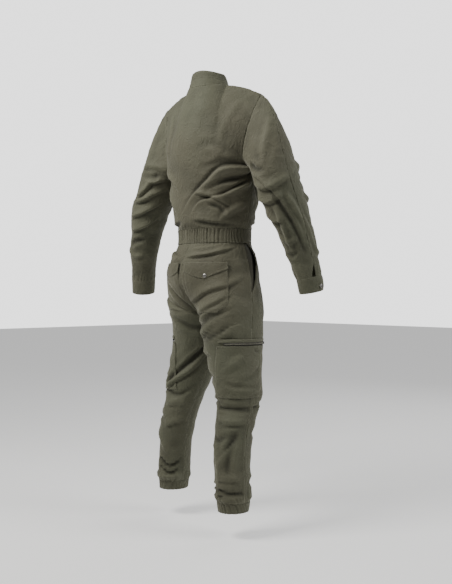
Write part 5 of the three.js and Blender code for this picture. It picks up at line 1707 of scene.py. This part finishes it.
@dataclass
class TrouserLeg:
    """One leg of the trousers with its slashed pocket, seat pocket, thigh pocket and hem."""

    wardrobe: Wardrobe
    side: Side
    seat_inner: float = 16.0
    seat_outer: tuple[float, float] = (0.65, 0.745)
    seat_rows: tuple[float, float] = (0.87, 1.92)
    pocket_behind: tuple[float, float] = (117.0, 141.0)
    zip_behind: float = 95.0
    pocket_ahead: float = 96.0
    zip_height: float = 552.0
    pocket_top: float = 541.5
    pocket_foot: float = 375.0
    tape_heights: tuple[float, float] = (552.5, 543.5)
    welt_heights: tuple[float, float] = (563.0, 552.0)
    creases_right: tuple[Crease, ...] = (
        Crease(((0.02, 0.62), (0.41, 0.46), (0.84, 0.14)), 12, 5, Fold.LAP),
        Crease(((0.10, 0.26), (0.36, 0.20), (0.62, 0.05)), 9, 3.5, Fold.RIDGE),
        Crease(((0.02, 1.50), (0.34, 1.46), (0.66, 1.38), (0.96, 1.16)), 15, 4.5, Fold.LAP),
        Crease(((0.10, 1.94), (0.36, 1.88), (0.60, 1.70), (0.80, 1.48)), 15, 4.5, Fold.LAP),
        Crease(((0.08, 2.04), (0.34, 2.05), (0.60, 1.98), (0.86, 1.80)), 13, -5.5),
        Crease(((0.06, 2.14), (0.30, 2.19), (0.52, 2.17)), 14, 5, Fold.LAP),
        Crease(((0.10, 2.24), (0.28, 2.31), (0.46, 2.30)), 13, -4.5),
        Crease(
            ((0.42, 2.45), (0.58, 2.46), (0.82, 2.463), (1.12, 2.458), (1.26, 2.40)),
            6.5, -9, Fold.TROUGH, (0.15, 0.3),
        ),
        Crease(((0.10, 2.41), (0.28, 2.43), (0.56, 2.437), (0.78, 2.45)), 6, -6),
        Crease(((0.40, 2.50), (0.60, 2.525), (0.84, 2.53), (1.10, 2.51)), 12, 5.5, Fold.LAP),
        Crease(((0.30, 2.60), (0.44, 2.66), (0.50, 2.76), (0.46, 2.83)), 12, 4.5, Fold.RIDGE),
        Crease(((0.86, 2.56), (0.74, 2.64), (0.68, 2.74), (0.72, 2.82)), 15, -6),
        Crease(((0.28, 2.12), (0.40, 2.09), (0.52, 2.06), (0.70, 2.02)), 12, 4.5, Fold.LAP),
        Crease(((0.38, 2.13), (0.50, 2.11), (0.64, 2.085), (0.78, 2.04), (0.94, 2.0)), 9, -4.5),
        Crease(((0.58, 2.125), (0.74, 2.11), (0.96, 2.10)), 7, -4),
        Crease(((0.30, 2.62), (0.56, 2.61), (0.84, 2.57)), 12, -4.5),
        Crease(((0.86, 2.60), (0.64, 2.68), (0.46, 2.76)), 13, 4.5, Fold.LAP),
        Crease(
            ((0.16, 2.835), (0.38, 2.856), (0.71, 2.872), (1.22, 2.868)), 6.5, -8, Fold.TROUGH, (0.12, 0.2)
        ),
        Crease(
            ((0.24, 2.872), (0.45, 2.888), (0.73, 2.899), (1.18, 2.893)), 5.5, -6.5, Fold.TROUGH, (0.12, 0.2)
        ),
        Crease(((0.40, 2.80), (0.70, 2.81), (1.00, 2.79)), 11, 4.5, Fold.LAP),
        Crease(((1.10, 2.42), (1.34, 2.43), (1.62, 2.48)), 14, 5, Fold.LAP),
        Crease(((1.12, 2.60), (1.40, 2.58), (1.66, 2.62)), 13, -4),
        Crease(((1.10, 2.82), (1.40, 2.84), (1.70, 2.82)), 11, -4),
        Crease(((1.96, 1.60), (1.74, 1.52), (1.50, 1.30)), 15, 5, Fold.LAP),
        Crease(((1.96, 1.80), (1.70, 1.84), (1.44, 1.74)), 15, -5),
        Crease(((1.94, 2.04), (1.70, 2.10), (1.46, 2.06)), 15, 4.5, Fold.LAP),
        Crease(((1.90, 0.30), (1.60, 0.44), (1.34, 0.34)), 14, 3.5, Fold.RIDGE),
    )
    creases_left: tuple[Crease, ...] = (
        Crease(((0.04, 0.66), (0.40, 0.46), (0.80, 0.16)), 12, 4.5, Fold.LAP),
        Crease(((0.46, 1.26), (0.28, 1.44), (0.14, 1.66), (0.10, 1.90)), 14, -6),
        Crease(((0.08, 1.96), (0.36, 1.90), (0.62, 1.72), (0.84, 1.48)), 15, 5, Fold.LAP),
        Crease(((0.07, 2.06), (0.34, 2.06), (0.60, 1.98)), 13, -5),
        Crease(
            ((0.64, 2.37), (0.53, 2.34), (0.31, 2.26), (0.12, 2.17), (0.02, 2.11)),
            10, -7.5, Fold.TROUGH, (0.1, 0.3),
        ),
        Crease(((0.62, 2.42), (0.48, 2.37), (0.24, 2.30), (0.08, 2.22)), 11, 6, Fold.LAP),
        Crease(((0.74, 2.40), (0.59, 2.41), (0.30, 2.43), (0.05, 2.36)), 9, -5.5),
        Crease(((0.66, 2.46), (0.50, 2.48), (0.26, 2.48), (0.06, 2.53)), 11, 5.5, Fold.LAP),
        Crease(((0.50, 2.61), (0.26, 2.58), (0.03, 2.56)), 12, 5, Fold.LAP),
        Crease(((0.90, 2.54), (0.66, 2.56), (0.50, 2.58)), 11, -4.5),
        Crease(((0.80, 2.62), (0.56, 2.70), (0.36, 2.76)), 13, 3.5, Fold.LAP),
        Crease(((0.66, 2.785), (0.52, 2.80), (0.31, 2.83), (0.06, 2.79)), 7, -8, Fold.TROUGH, (0.15, 0.25)),
        Crease(((0.62, 2.83), (0.47, 2.845), (0.29, 2.868), (0.12, 2.84)), 6, -6, Fold.TROUGH, (0.15, 0.25)),
        Crease(((0.84, 2.875), (0.55, 2.885), (0.21, 2.885), (0.02, 2.87)), 8, 4.5, Fold.RIDGE),
        Crease(((1.10, 2.42), (1.34, 2.44), (1.66, 2.46)), 14, 5, Fold.LAP),
        Crease(((1.12, 2.62), (1.42, 2.58), (1.70, 2.60)), 13, -4),
        Crease(((1.12, 2.80), (1.42, 2.84), (1.74, 2.80)), 11, -4),
        Crease(((1.96, 1.60), (1.74, 1.54), (1.50, 1.34)), 15, 5, Fold.LAP),
        Crease(((1.94, 2.02), (1.70, 2.12), (1.46, 2.08)), 15, 4.5, Fold.LAP),
    )

    def __post_init__(self) -> None:
        """Measure the leg's half girth at its rows."""
        self.form = Form(self.side)
        self.hem_row = 3.0 - HEM_TOP[self.side] / CROTCH
        self.long_swell = swell((95, 95, 80), 3.4, 81 + int(self.side.value))
        self.leg_rows = (0.003, self.hem_row + 0.004)
        self.leg_ends = (
            Seam(Edge.FIRST_ROW, lap=4, rise=0.0, dip=0.8, pucker=0.0),
            Seam(Edge.LAST_ROW, lap=4, rise=0.0, dip=2.8, pucker=0.0),
        )
        self._rows = np.linspace(0.0, 3.0, 61)
        turns, rows = np.meshgrid(np.linspace(0, 1, 25), self._rows)
        ring = self.form.trousers(turns, rows)
        self._girths = np.linalg.norm(np.diff(ring, axis=1), axis=2).sum(axis=1)

    @property
    def creases(self) -> tuple[Crease, ...]:
        """The folds of this leg."""
        return self.creases_right if self.side is Side.RIGHT else self.creases_left

    def girth(self, v: np.ndarray) -> np.ndarray:
        """Length round half the leg at a row."""
        return np.interp(v, self._rows, self._girths)

    def heart(self, v: np.ndarray) -> np.ndarray:
        """A point inside the leg or the seat at a row."""
        leg = LEGS[self.side]
        z = mix(CROTCH, 0.0, np.maximum(v - 2, 0))
        inside_leg = stack(self.side.value * leg.at("x", z), leg.at("y", z), z + np.where(v < 2, 40.0, 0.0))
        waist = stack(0.0, 0.0, mix(WAISTBAND_FOOT, HIP, np.minimum(v, 1)) + 20)
        return np.where((v < 1.6)[..., None], waist, inside_leg)

    @staticmethod
    def slash(v: np.ndarray) -> np.ndarray:
        """Edge of the slashed pocket, as a turn past the side seam."""
        t = np.clip(v / SLASH_FOOT, 0, 1)
        return 0.1 * (1 - t) + 0.17 * np.sin(math.pi * t**0.9)

    def build(self, thread: Stitching) -> None:
        """Make every piece of the leg."""
        swells = (
            self.long_swell, crinkle((50, 50, 38), 1.4, 83),
            swell((40, 40, 26), 1.8, 85),
            gathers(Edge.FIRST_ROW, 15.0, 1.4, 18, 86), gathers(Edge.LAST_ROW, 17.0, 2.6, 30, 87),
        )
        swells += (self._bunched,)
        back = self._back(swells, thread)
        front = self._front(swells, thread)
        self._facing()
        self._seat_pocket(thread)
        self._thigh_pocket(thread)
        self._hem(thread)
        self._tacks(back, front, thread)

    def _panel(self, name: str, node: str, panel: Panel) -> None:
        """Build and dress one panel of twill, and hide its CAD node."""
        piece = panel.build()
        # The pocket facing takes the darker twill copy, which paints the shade inside the pocket.
        shaded_twill = name.startswith("pocket_facing")
        material = self.wardrobe.shaded_twill if shaded_twill else self.wardrobe.twill
        self.wardrobe.dress(piece, material, "pocketing" if shaded_twill else "twill")
        cut_sheet(piece, node)

    def _back(self, swells: tuple, thread: Stitching) -> Panel:
        """Back panel from the centre seam to the side seam."""
        name = self.side.word
        back = Panel(
            f"trouser_back_{name}_cloth", self.form.trousers,
            ruled(lambda a, v: a + 0 * v, self.leg_rows),
            self.heart, creases=self.creases, seed=91 + int(self.side.value), swells=swells,
            seams=(
                Seam(Edge.FIRST_COLUMN, lap=7, rise=0.2, dip=0.4, held=0.0), Seam(Edge.LAST_COLUMN, rise=0.9),
                *self.leg_ends,
            ),
        )
        self._panel(back.name, f"trouser_back_{name}", back)
        thread.rows(back, Edge.LAST_COLUMN, (2.0, 8.4), 0.02, 0.98)
        thread.rows(back, Edge.FIRST_COLUMN, (2.4, 8.0) if self.side is Side.LEFT else (2.4,), 0.01, 0.98)
        return back

    def _front(self, swells: tuple, thread: Stitching) -> Panel:
        """Front panel from the slash and the side seam to the fly and the inseam."""
        name = self.side.word

        def turn(a: np.ndarray, v: np.ndarray) -> np.ndarray:
            """Turns between the slash and the front's last edge."""
            return mix(1.0 + self.slash(v), 2.0 - FLY_TURN * smooth((FLY_ROW + 0.02 - v) / 0.04), a)

        def gape(panel: Panel) -> np.ndarray:
            """The slashed edge stands off the hip."""
            near = np.exp(-((panel.from_edge(Edge.FIRST_COLUMN) / 15.0) ** 2))
            return 8.0 * np.sin(math.pi * np.clip(panel.v / SLASH_FOOT, 0, 1)) * near

        front = Panel(
            f"trouser_front_{name}_cloth", self.form.trousers, ruled(turn, self.leg_rows),
            self.heart, creases=self.creases, seed=95 + int(self.side.value), swells=swells + (gape,),
            seams=(
                Seam(Edge.FIRST_COLUMN, lap=6, rise=0.2, dip=0.9),
                Seam(Edge.LAST_COLUMN, lap=7, rise=0.2, dip=0.4, held=0.0),
                *self.leg_ends,
            ),
        )
        self._panel(front.name, f"trouser_front_{name}", front)
        thread.rows(front, Edge.FIRST_COLUMN, (3.0, 9.0), 0.01, 0.27)
        thread.rows(front, Edge.LAST_COLUMN, (3.0, 9.0), 0.01, 0.24)
        return front

    def _facing(self) -> None:
        """Facing inside the slashed pocket, in the darker twill copy that paints the shade inside the pocket.
        """
        name = self.side.word

        def sunk(panel: Panel) -> np.ndarray:
            """It dips far under the front's edge, where the bag hangs open; through the crest attribute the
            dip also paints shade there.
            """
            near = smooth((panel.u - 1.0) / np.maximum(self.slash(panel.v), 0.03))
            return -3.0 * near - 7.0 * near**3 * np.sin(math.pi * panel.v / SLASH_FOOT)

        facing = Panel(
            f"pocket_facing_{name}_cloth", self.form.trousers,
            ruled(lambda a, v: mix(1.0 + 0 * v, 1.06 + self.slash(v), a), (0.03, SLASH_FOOT - 0.03)),
            self.heart, swells=(sunk,),
        )
        self._panel(facing.name, f"pocket_facing_{name}", facing)

    def _on_seat(self, a: np.ndarray, v: np.ndarray, over: float = 0.0, chamfer: float = 0.0) -> np.ndarray:
        """Turns across the seat pocket.

        Args:
            a: Shares across it, from the centre seam outwards.
            v: Rows of the trousers.
            over: How far it reaches past the pocket's edges, in millimetres.
            chamfer: How much of its outer foot is cut off.

        Returns:
            One turn for each place.
        """
        girth = self.girth(np.minimum(v, 1.9))
        past = (over - chamfer * smooth((v - 1.76) / 0.16)) / girth
        outer = mix(*self.seat_outer, smooth((v - 0.9) / 0.98)) + past
        return mix((self.seat_inner - over) / girth, outer, a)

    def _seat_pocket(self, thread: Stitching) -> None:
        """Seat patch pocket with a pointed flap and a snap."""
        name = self.side.word
        patch = Panel(
            f"seat_pocket_{name}_cloth", self.form.trousers,
            ruled(lambda a, v: self._on_seat(a, v, chamfer=30.0), self.seat_rows),
            self.heart, lift=2.6, creases=self.creases, seed=101, spacing=4.2,
            seams=like_seams(SIDES_AND_FOOT, lap=6, rise=0.4, dip=1.8, pucker=0.5),
            swells=(self.long_swell, swell((34, 34, 24), 0.9, 103), self._belly(1.8)),
        )
        self._panel(patch.name, f"seat_pocket_{name}", patch)

        def flap_cut(a: np.ndarray, b: np.ndarray) -> tuple[np.ndarray, np.ndarray]:
            """A flap with a point at its middle."""
            foot = 1.07 + 0.15 * (1 - np.abs(2 * a - 1))
            v = mix(self.seat_rows[0] - 0.03, foot, b)
            return self._on_seat(a, v, over=2.0), v

        flap = Panel(
            f"seat_flap_{name}_cloth", self.form.trousers, flap_cut, self.heart,
            lift=5.1, creases=self.creases, seed=105, spacing=3.4,
            seams=like_seams(tuple(Edge), lap=5, rise=0.4, dip=1.2, pucker=0.3),
            swells=(self.long_swell, swell((30, 30, 20), 0.9, 107)),
        )
        self._panel(flap.name, f"seat_flap_{name}", flap)
        for edge in (Edge.FIRST_COLUMN, Edge.LAST_COLUMN, Edge.LAST_ROW):
            thread.rows(patch, edge, (2.4, 8.4))
            thread.rows(flap, edge, (2.4,), 0.04, 0.96)
        thread.rows(flap, Edge.FIRST_ROW, (2.2, 8.2))
        SnapCap(f"seat_snap_{name}_cap", f"seat_snap_{name}").build(self.wardrobe)

    @staticmethod
    def _bunched(panel: Panel) -> np.ndarray:
        """The cloth stands out over the hem band."""
        return 5.0 * np.exp(-(((panel.from_edge(Edge.LAST_ROW) - 17.0) / 13.0) ** 2))

    @staticmethod
    def _belly(amount: float) -> Callable[[Panel], np.ndarray]:
        """A patch stands off the cloth under it at its middle."""

        def relief(panel: Panel) -> np.ndarray:
            """Heights of the belly."""
            a = panel.across / panel.across[:, -1:]
            b = panel.down / panel.down[-1:]
            return amount * np.sin(math.pi * a) ** 0.7 * np.sin(math.pi * b) ** 0.7

        return relief

    def _thigh_pocket(self, thread: Stitching) -> None:
        """Thigh patch pocket across the side seam, with its zip, slider and tab."""
        name = self.side.word

        def row(z: float) -> float:
            """Row of the leg at a height."""
            return 3.0 - z / CROTCH

        def turn(a: np.ndarray, v: np.ndarray) -> np.ndarray:
            """Turns across the pocket."""
            share = (v - row(self.zip_height)) / (row(self.pocket_foot) - row(self.zip_height))
            behind = mix(*self.pocket_behind, np.clip(share, 0, 1))
            return 1.0 + mix(-behind, self.pocket_ahead, a) / self.girth(v)

        def zip_turn(a: np.ndarray, v: np.ndarray) -> np.ndarray:
            """Turns across the zip, which is shorter than the pocket."""
            return 1.0 + mix(-self.zip_behind, self.pocket_ahead, a) / self.girth(v)

        folds = self.creases + (
            Crease(((0.90, 2.19), (0.76, 2.24), (0.58, 2.29)), 13, 2.6, Fold.RIDGE),
            Crease(((1.00, 2.165), (1.08, 2.178), (1.17, 2.17)), 7, -3.5),
            Crease(((1.14, 2.25), (0.98, 2.30), (0.80, 2.33)), 11, -2.8),
            Crease(((1.16, 2.35), (0.98, 2.375), (0.76, 2.37)), 9, 2.6, Fold.RIDGE),
            Crease(((0.60, 2.33), (0.76, 2.35), (0.90, 2.34)), 9, -2.6),
        )
        pocket = Panel(
            f"thigh_pocket_{name}_cloth", self.form.trousers,
            ruled(turn, (row(self.pocket_top), row(self.pocket_foot))),
            self.heart, lift=3.6, wall=2.0, creases=folds, seed=111, spacing=4.0,
            seams=(
                *like_seams(SIDES_AND_FOOT, lap=7, rise=0.5, dip=2.2, pucker=0.7),
                Seam(Edge.FIRST_ROW, lap=4, rise=0.7, dip=0.9, pucker=0.3),
            ),
            swells=(self.long_swell, swell((36, 36, 26), 2.0, 113), self._belly(2.6)),
        )
        self._panel(pocket.name, f"thigh_pocket_{name}", pocket)
        tape = Panel(
            f"thigh_zip_{name}_tape", self.form.trousers, ruled(zip_turn, tuple(map(row, self.tape_heights))),
            self.heart, lift=2.1, wall=1.2, spacing=2.0, creases=folds, swells=(self.long_swell,),
        )
        piece = tape.build()
        self.wardrobe.dress(piece, self.wardrobe.tape, "zip_tape")
        cut_sheet(piece, f"thigh_zip_{name}")
        piping = Panel(
            f"thigh_zip_{name}_welt", self.form.trousers, ruled(turn, tuple(map(row, self.welt_heights))),
            self.heart,
            lift=3.0, wall=1.4, spacing=3.0, creases=folds, seed=115,
            seams=(
                Seam(Edge.FIRST_ROW, lap=4, rise=0.2, dip=1.6, pucker=0.4),
                Seam(Edge.LAST_ROW, lap=3, rise=0.2, dip=1.0, pucker=0.2),
            ),
            swells=(self.long_swell,),
        )
        welt = piping.build()
        self.wardrobe.dress(welt, self.wardrobe.twill, "twill")
        cut_sheet(welt, "")
        line = tape.through(((0.01, 0.5), (0.5, 0.5), (0.9, 0.5)), 80)
        ZipTeeth(f"thigh_zip_{name}_teeth", line).build(self.wardrobe)
        for edge in (Edge.FIRST_COLUMN, Edge.LAST_COLUMN, Edge.LAST_ROW):
            thread.rows(pocket, edge, (2.4, 8.6))
        thread.rows(pocket, Edge.FIRST_ROW, (3.2,))
        thread.rows(piping, Edge.FIRST_ROW, (2.4,))
        thread.add(*bar_tack(pocket.through(((0.012, 0.0), (0.012, 0.06)), 12), 3.0))
        thread.add(*bar_tack(pocket.through(((0.988, 0.0), (0.988, 0.06)), 12), 3.0))

    def _hem(self, thread: Stitching) -> None:
        """Hem band gathered by its elastic."""
        name = self.side.word
        top = HEM_TOP[self.side]
        band = Panel(
            f"hem_band_{name}_cloth", self.form.leg_ring,
            ruled(lambda a, z: 2.0 * a + 0 * z, (top - 0.3, top - HEM_DEPTH)),
            lambda z: stack(self.side.value * LEGS[self.side].at("x", z), LEGS[self.side].at("y", z), z),
            spacing=2.6, wall=2.2, seed=121,
            swells=(gathers(Edge.FIRST_ROW, 14.5, 1.9, 20, 123, flat=0.85), swell((26, 26, 16), 0.8, 125)),
        )
        self._panel(band.name, f"hem_band_{name}", band)
        thread.rows(band, Edge.LAST_ROW, (3.0,))
        thread.rows(band, Edge.FIRST_ROW, (2.5,))

    def _tacks(self, back: Panel, front: Panel, thread: Stitching) -> None:
        """Bar tacks at both ends of the slash."""
        high = front.through(((0.004, 0.006), (0.05, 0.006)), 12)
        low = back.beside(Edge.LAST_COLUMN, 4.0, 0.262, 0.274)
        thread.add(*bar_tack(high, 3.2), *bar_tack(low, 8.0))


@dataclass
class ZipTeeth:
    """Coil of a closed zip along a line: small teeth from both sides in turn."""

    name: str
    line: Line
    pitch: float = 1.5
    tooth: float = 3.6

    def build(self, wardrobe: Wardrobe) -> bpy.types.Object:
        """Make every tooth."""
        work = bmesh.new()
        points, along, normals = self.line.evenly(self.pitch)
        for k, (point, step, normal) in enumerate(zip(points, along, normals)):
            across = np.cross(normal, step) * (0.9 if k % 2 else -0.9)
            place = set_down(point + across + normal * 0.85, step, normal, np.array((1.05, self.tooth, 1.3)))
            bmesh.ops.create_cube(work, size=1.0, matrix=place)
        bmesh.ops.recalc_face_normals(work, faces=work.faces)
        piece = finished(work, self.name)
        wardrobe.dress(piece, wardrobe.chain, "zip_metal")
        return piece


@dataclass
class FrontZip:
    """Front zip from the fly to the top of the collar."""

    wardrobe: Wardrobe
    inset: float = 3.8

    def build(self) -> None:
        """Make both tapes and the teeth."""
        edges = []
        for side in Side:
            form = Form(side)
            tape = Panel(
                f"front_zip_tape_{side.word}_cloth", lambda u, s, f=form: self._edge(f, u, s),
                ruled(lambda a, v: mix(0.001, 0.07, a), (0.0, 4.0)),
                lambda s: stack(0.0, 30.0, mix(650.0, 1440.0, s / 4.0)),
                spacing=4.0, lift=-self.inset, wall=1.0,
            )
            piece = tape.build()
            self.wardrobe.dress(piece, self.wardrobe.tape, "zip_tape")
            cut_sheet(piece, f"front_zip_tape_{side.word}")
            edges.append(tape)
        rows = np.linspace(0, edges[0].u.shape[0] - 1, 400)
        halves = [
            tape.at(np.zeros_like(rows), np.interp(rows, rows, rows * (tape.u.shape[0] - 1) / rows[-1]))
            for tape in edges
        ]
        middle = Line((halves[0][0] + halves[1][0]) / 2, unit(halves[0][1] + halves[1][1]))
        ZipTeeth("front_zip_teeth", middle, pitch=2.4, tooth=4.6).build(self.wardrobe)

    @staticmethod
    def _edge(form: Form, u: np.ndarray, s: np.ndarray) -> np.ndarray:
        """The front beside its middle line: trousers, waistband, bodice, collar."""
        trousers = form.trousers(2.0 - u, mix(FLY_ROW, 0.0, np.clip(s, 0, 1)))
        height = mix(WAISTBAND_FOOT, WAISTBAND_TOP, np.clip(s - 1, 0, 1))
        band = twisted(form.trunk((2.0 - u) * QUARTER, height))
        bodice = form.bodice(u, mix(0.0, 2.0, np.clip(s - 2, 0, 1)), False)
        neck = twisted(form.top_line(u, False))
        out = neck - twisted(np.array((0.0, NECK.mid_y, ORIGIN_HEIGHT)))
        out[..., 2] = 0.0
        share = np.clip(s - 3, 0, 1)[..., None]
        collar = neck + share * (np.array((0.0, 0.0, NECK.collar_front - 1.2)) - unit(out) * NECK.collar_lean)
        low = np.where((s <= 1)[..., None], trousers, band)
        high = np.where((s <= 3)[..., None], bodice, collar)
        return np.where((s <= 2)[..., None], low, high)


@dataclass
class Studio:
    """Pale floor, soft light and the camera."""

    floor: float = -1.468
    distance: float = 3.0
    azimuth: float = 228.0
    eye: float = -0.676
    lens: float = 54.0

    def build(self) -> None:
        """Make the floor, the lights and the camera."""
        work = bmesh.new()
        ground = Matrix.Translation((0, 0, self.floor))
        bmesh.ops.create_grid(work, x_segments=1, y_segments=1, size=14.0, matrix=ground)
        mesh = bpy.data.meshes.new("floor")
        work.to_mesh(mesh)
        work.free()
        floor = bpy.data.objects.new("floor", mesh)
        bpy.context.scene.collection.objects.link(floor)
        pale = bpy.data.materials.new("pale_floor")
        pale.use_nodes = True
        graph = Graph(pale.node_tree)
        whereabouts = graph.node("ShaderNodeTexCoord").outputs["Object"]
        mottle = graph.node("ShaderNodeTexNoise", {"Vector": whereabouts, "Scale": 1.2}).outputs[0]
        tone = graph.blend(mottle, (0.86, 0.86, 0.85, 1.0), (0.90, 0.90, 0.89, 1.0))
        pale.node_tree.links.new(tone, pale.node_tree.nodes["Principled BSDF"].inputs["Base Color"])
        pale.node_tree.nodes["Principled BSDF"].inputs["Roughness"].default_value = 0.9
        pale.node_tree.nodes["Principled BSDF"].inputs["Emission Color"].default_value = (1.0, 1.0, 1.0, 1.0)
        lit = graph.math("MULTIPLY", graph.node("ShaderNodeLightPath").outputs["Is Camera Ray"], 0.5)
        pale.node_tree.links.new(lit, pale.node_tree.nodes["Principled BSDF"].inputs["Emission Strength"])
        floor.data.materials.append(pale)
        self._light("key", (0.34, 1.46, 0.92), 0.9, 45.0, (1.0, 0.985, 0.95))
        self._light("rim", (-2.2, -1.1, 0.8), 1.4, 34.0, (1.0, 1.0, 0.98))
        self._light("front_fill", (0.6, -3.2, 1.2), 2.6, 26.0, (1.0, 1.0, 1.0))
        world = bpy.data.worlds.new("studio")
        world.use_nodes = True
        tree = world.node_tree
        soft = tree.nodes["Background"]
        soft.inputs["Strength"].default_value = 0.16
        seen = tree.nodes.new("ShaderNodeBackground")
        seen.inputs["Strength"].default_value = 2.2
        for sky in (soft, seen):
            sky.inputs["Color"].default_value = (1.0, 1.0, 1.0, 1.0)
        choose = tree.nodes.new("ShaderNodeMixShader")
        path = tree.nodes.new("ShaderNodeLightPath")
        tree.links.new(path.outputs["Is Camera Ray"], choose.inputs[0])
        tree.links.new(soft.outputs[0], choose.inputs[1])
        tree.links.new(seen.outputs[0], choose.inputs[2])
        tree.links.new(choose.outputs[0], tree.nodes["World Output"].inputs["Surface"])
        bpy.context.scene.world = world
        self._camera()

    @staticmethod
    def _light(
        name: str, place: tuple[float, float, float], size: float, power: float,
        colour: tuple[float, float, float],
    ) -> None:
        """Add one soft light that faces the chest.

        Args:
            name: Name of the light.
            place: Where it stands.
            size: Side of its square.
            power: Watts.
            colour: Its colour.
        """
        data = bpy.data.lights.new(name, "AREA")
        data.size = size
        data.energy = power
        data.color = colour
        lamp = bpy.data.objects.new(name, data)
        lamp.location = place
        lamp.rotation_euler = (Vector((0, 0, -0.55)) - Vector(place)).to_track_quat("-Z", "Y").to_euler()
        bpy.context.scene.collection.objects.link(lamp)

    def _camera(self) -> None:
        """Place the camera level with the hips, behind the wearer's right."""
        data = bpy.data.cameras.new("camera")
        data.lens = self.lens
        data.sensor_width = 36.0
        data.shift_x = 0.0188
        data.shift_y = -0.0034
        camera = bpy.data.objects.new("camera", data)
        turn = math.radians(self.azimuth)
        camera.location = (self.distance * math.sin(turn), -self.distance * math.cos(turn), self.eye)
        ahead = Vector((-math.sin(turn), math.cos(turn), 0.0))
        camera.rotation_euler = ahead.to_track_quat("-Z", "Y").to_euler()
        bpy.context.scene.collection.objects.link(camera)
        bpy.context.scene.camera = camera


def dress_frame(wardrobe: Wardrobe) -> None:
    """Give the sliders and pull tabs, which stay as they are, their metal."""
    for name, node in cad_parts.items():
        if name.endswith(("slider", "pull_tab")):
            wardrobe.dress(node, wardrobe.gunmetal, "zip_metal")


def main() -> None:
    """Build the suit and its studio."""
    logging.basicConfig(level=logging.INFO, format="%(message)s")
    Studio().build()
    wardrobe = Wardrobe()
    upper, bands, legs = Stitching("upper_stitching"), Stitching("band_stitching"), Stitching("leg_stitching")
    Bodice(wardrobe).build(upper)
    for side in Side:
        Sleeve(wardrobe, side).build(upper)
    Collar(wardrobe).build(bands)
    Waistband(wardrobe).build(bands)
    for side in Side:
        TrouserLeg(wardrobe, side).build(legs)
    FrontZip(wardrobe).build()
    for stitching in (upper, bands, legs):
        stitching.build(wardrobe)
    dress_frame(wardrobe)


if __name__ == "__main__":
    main()
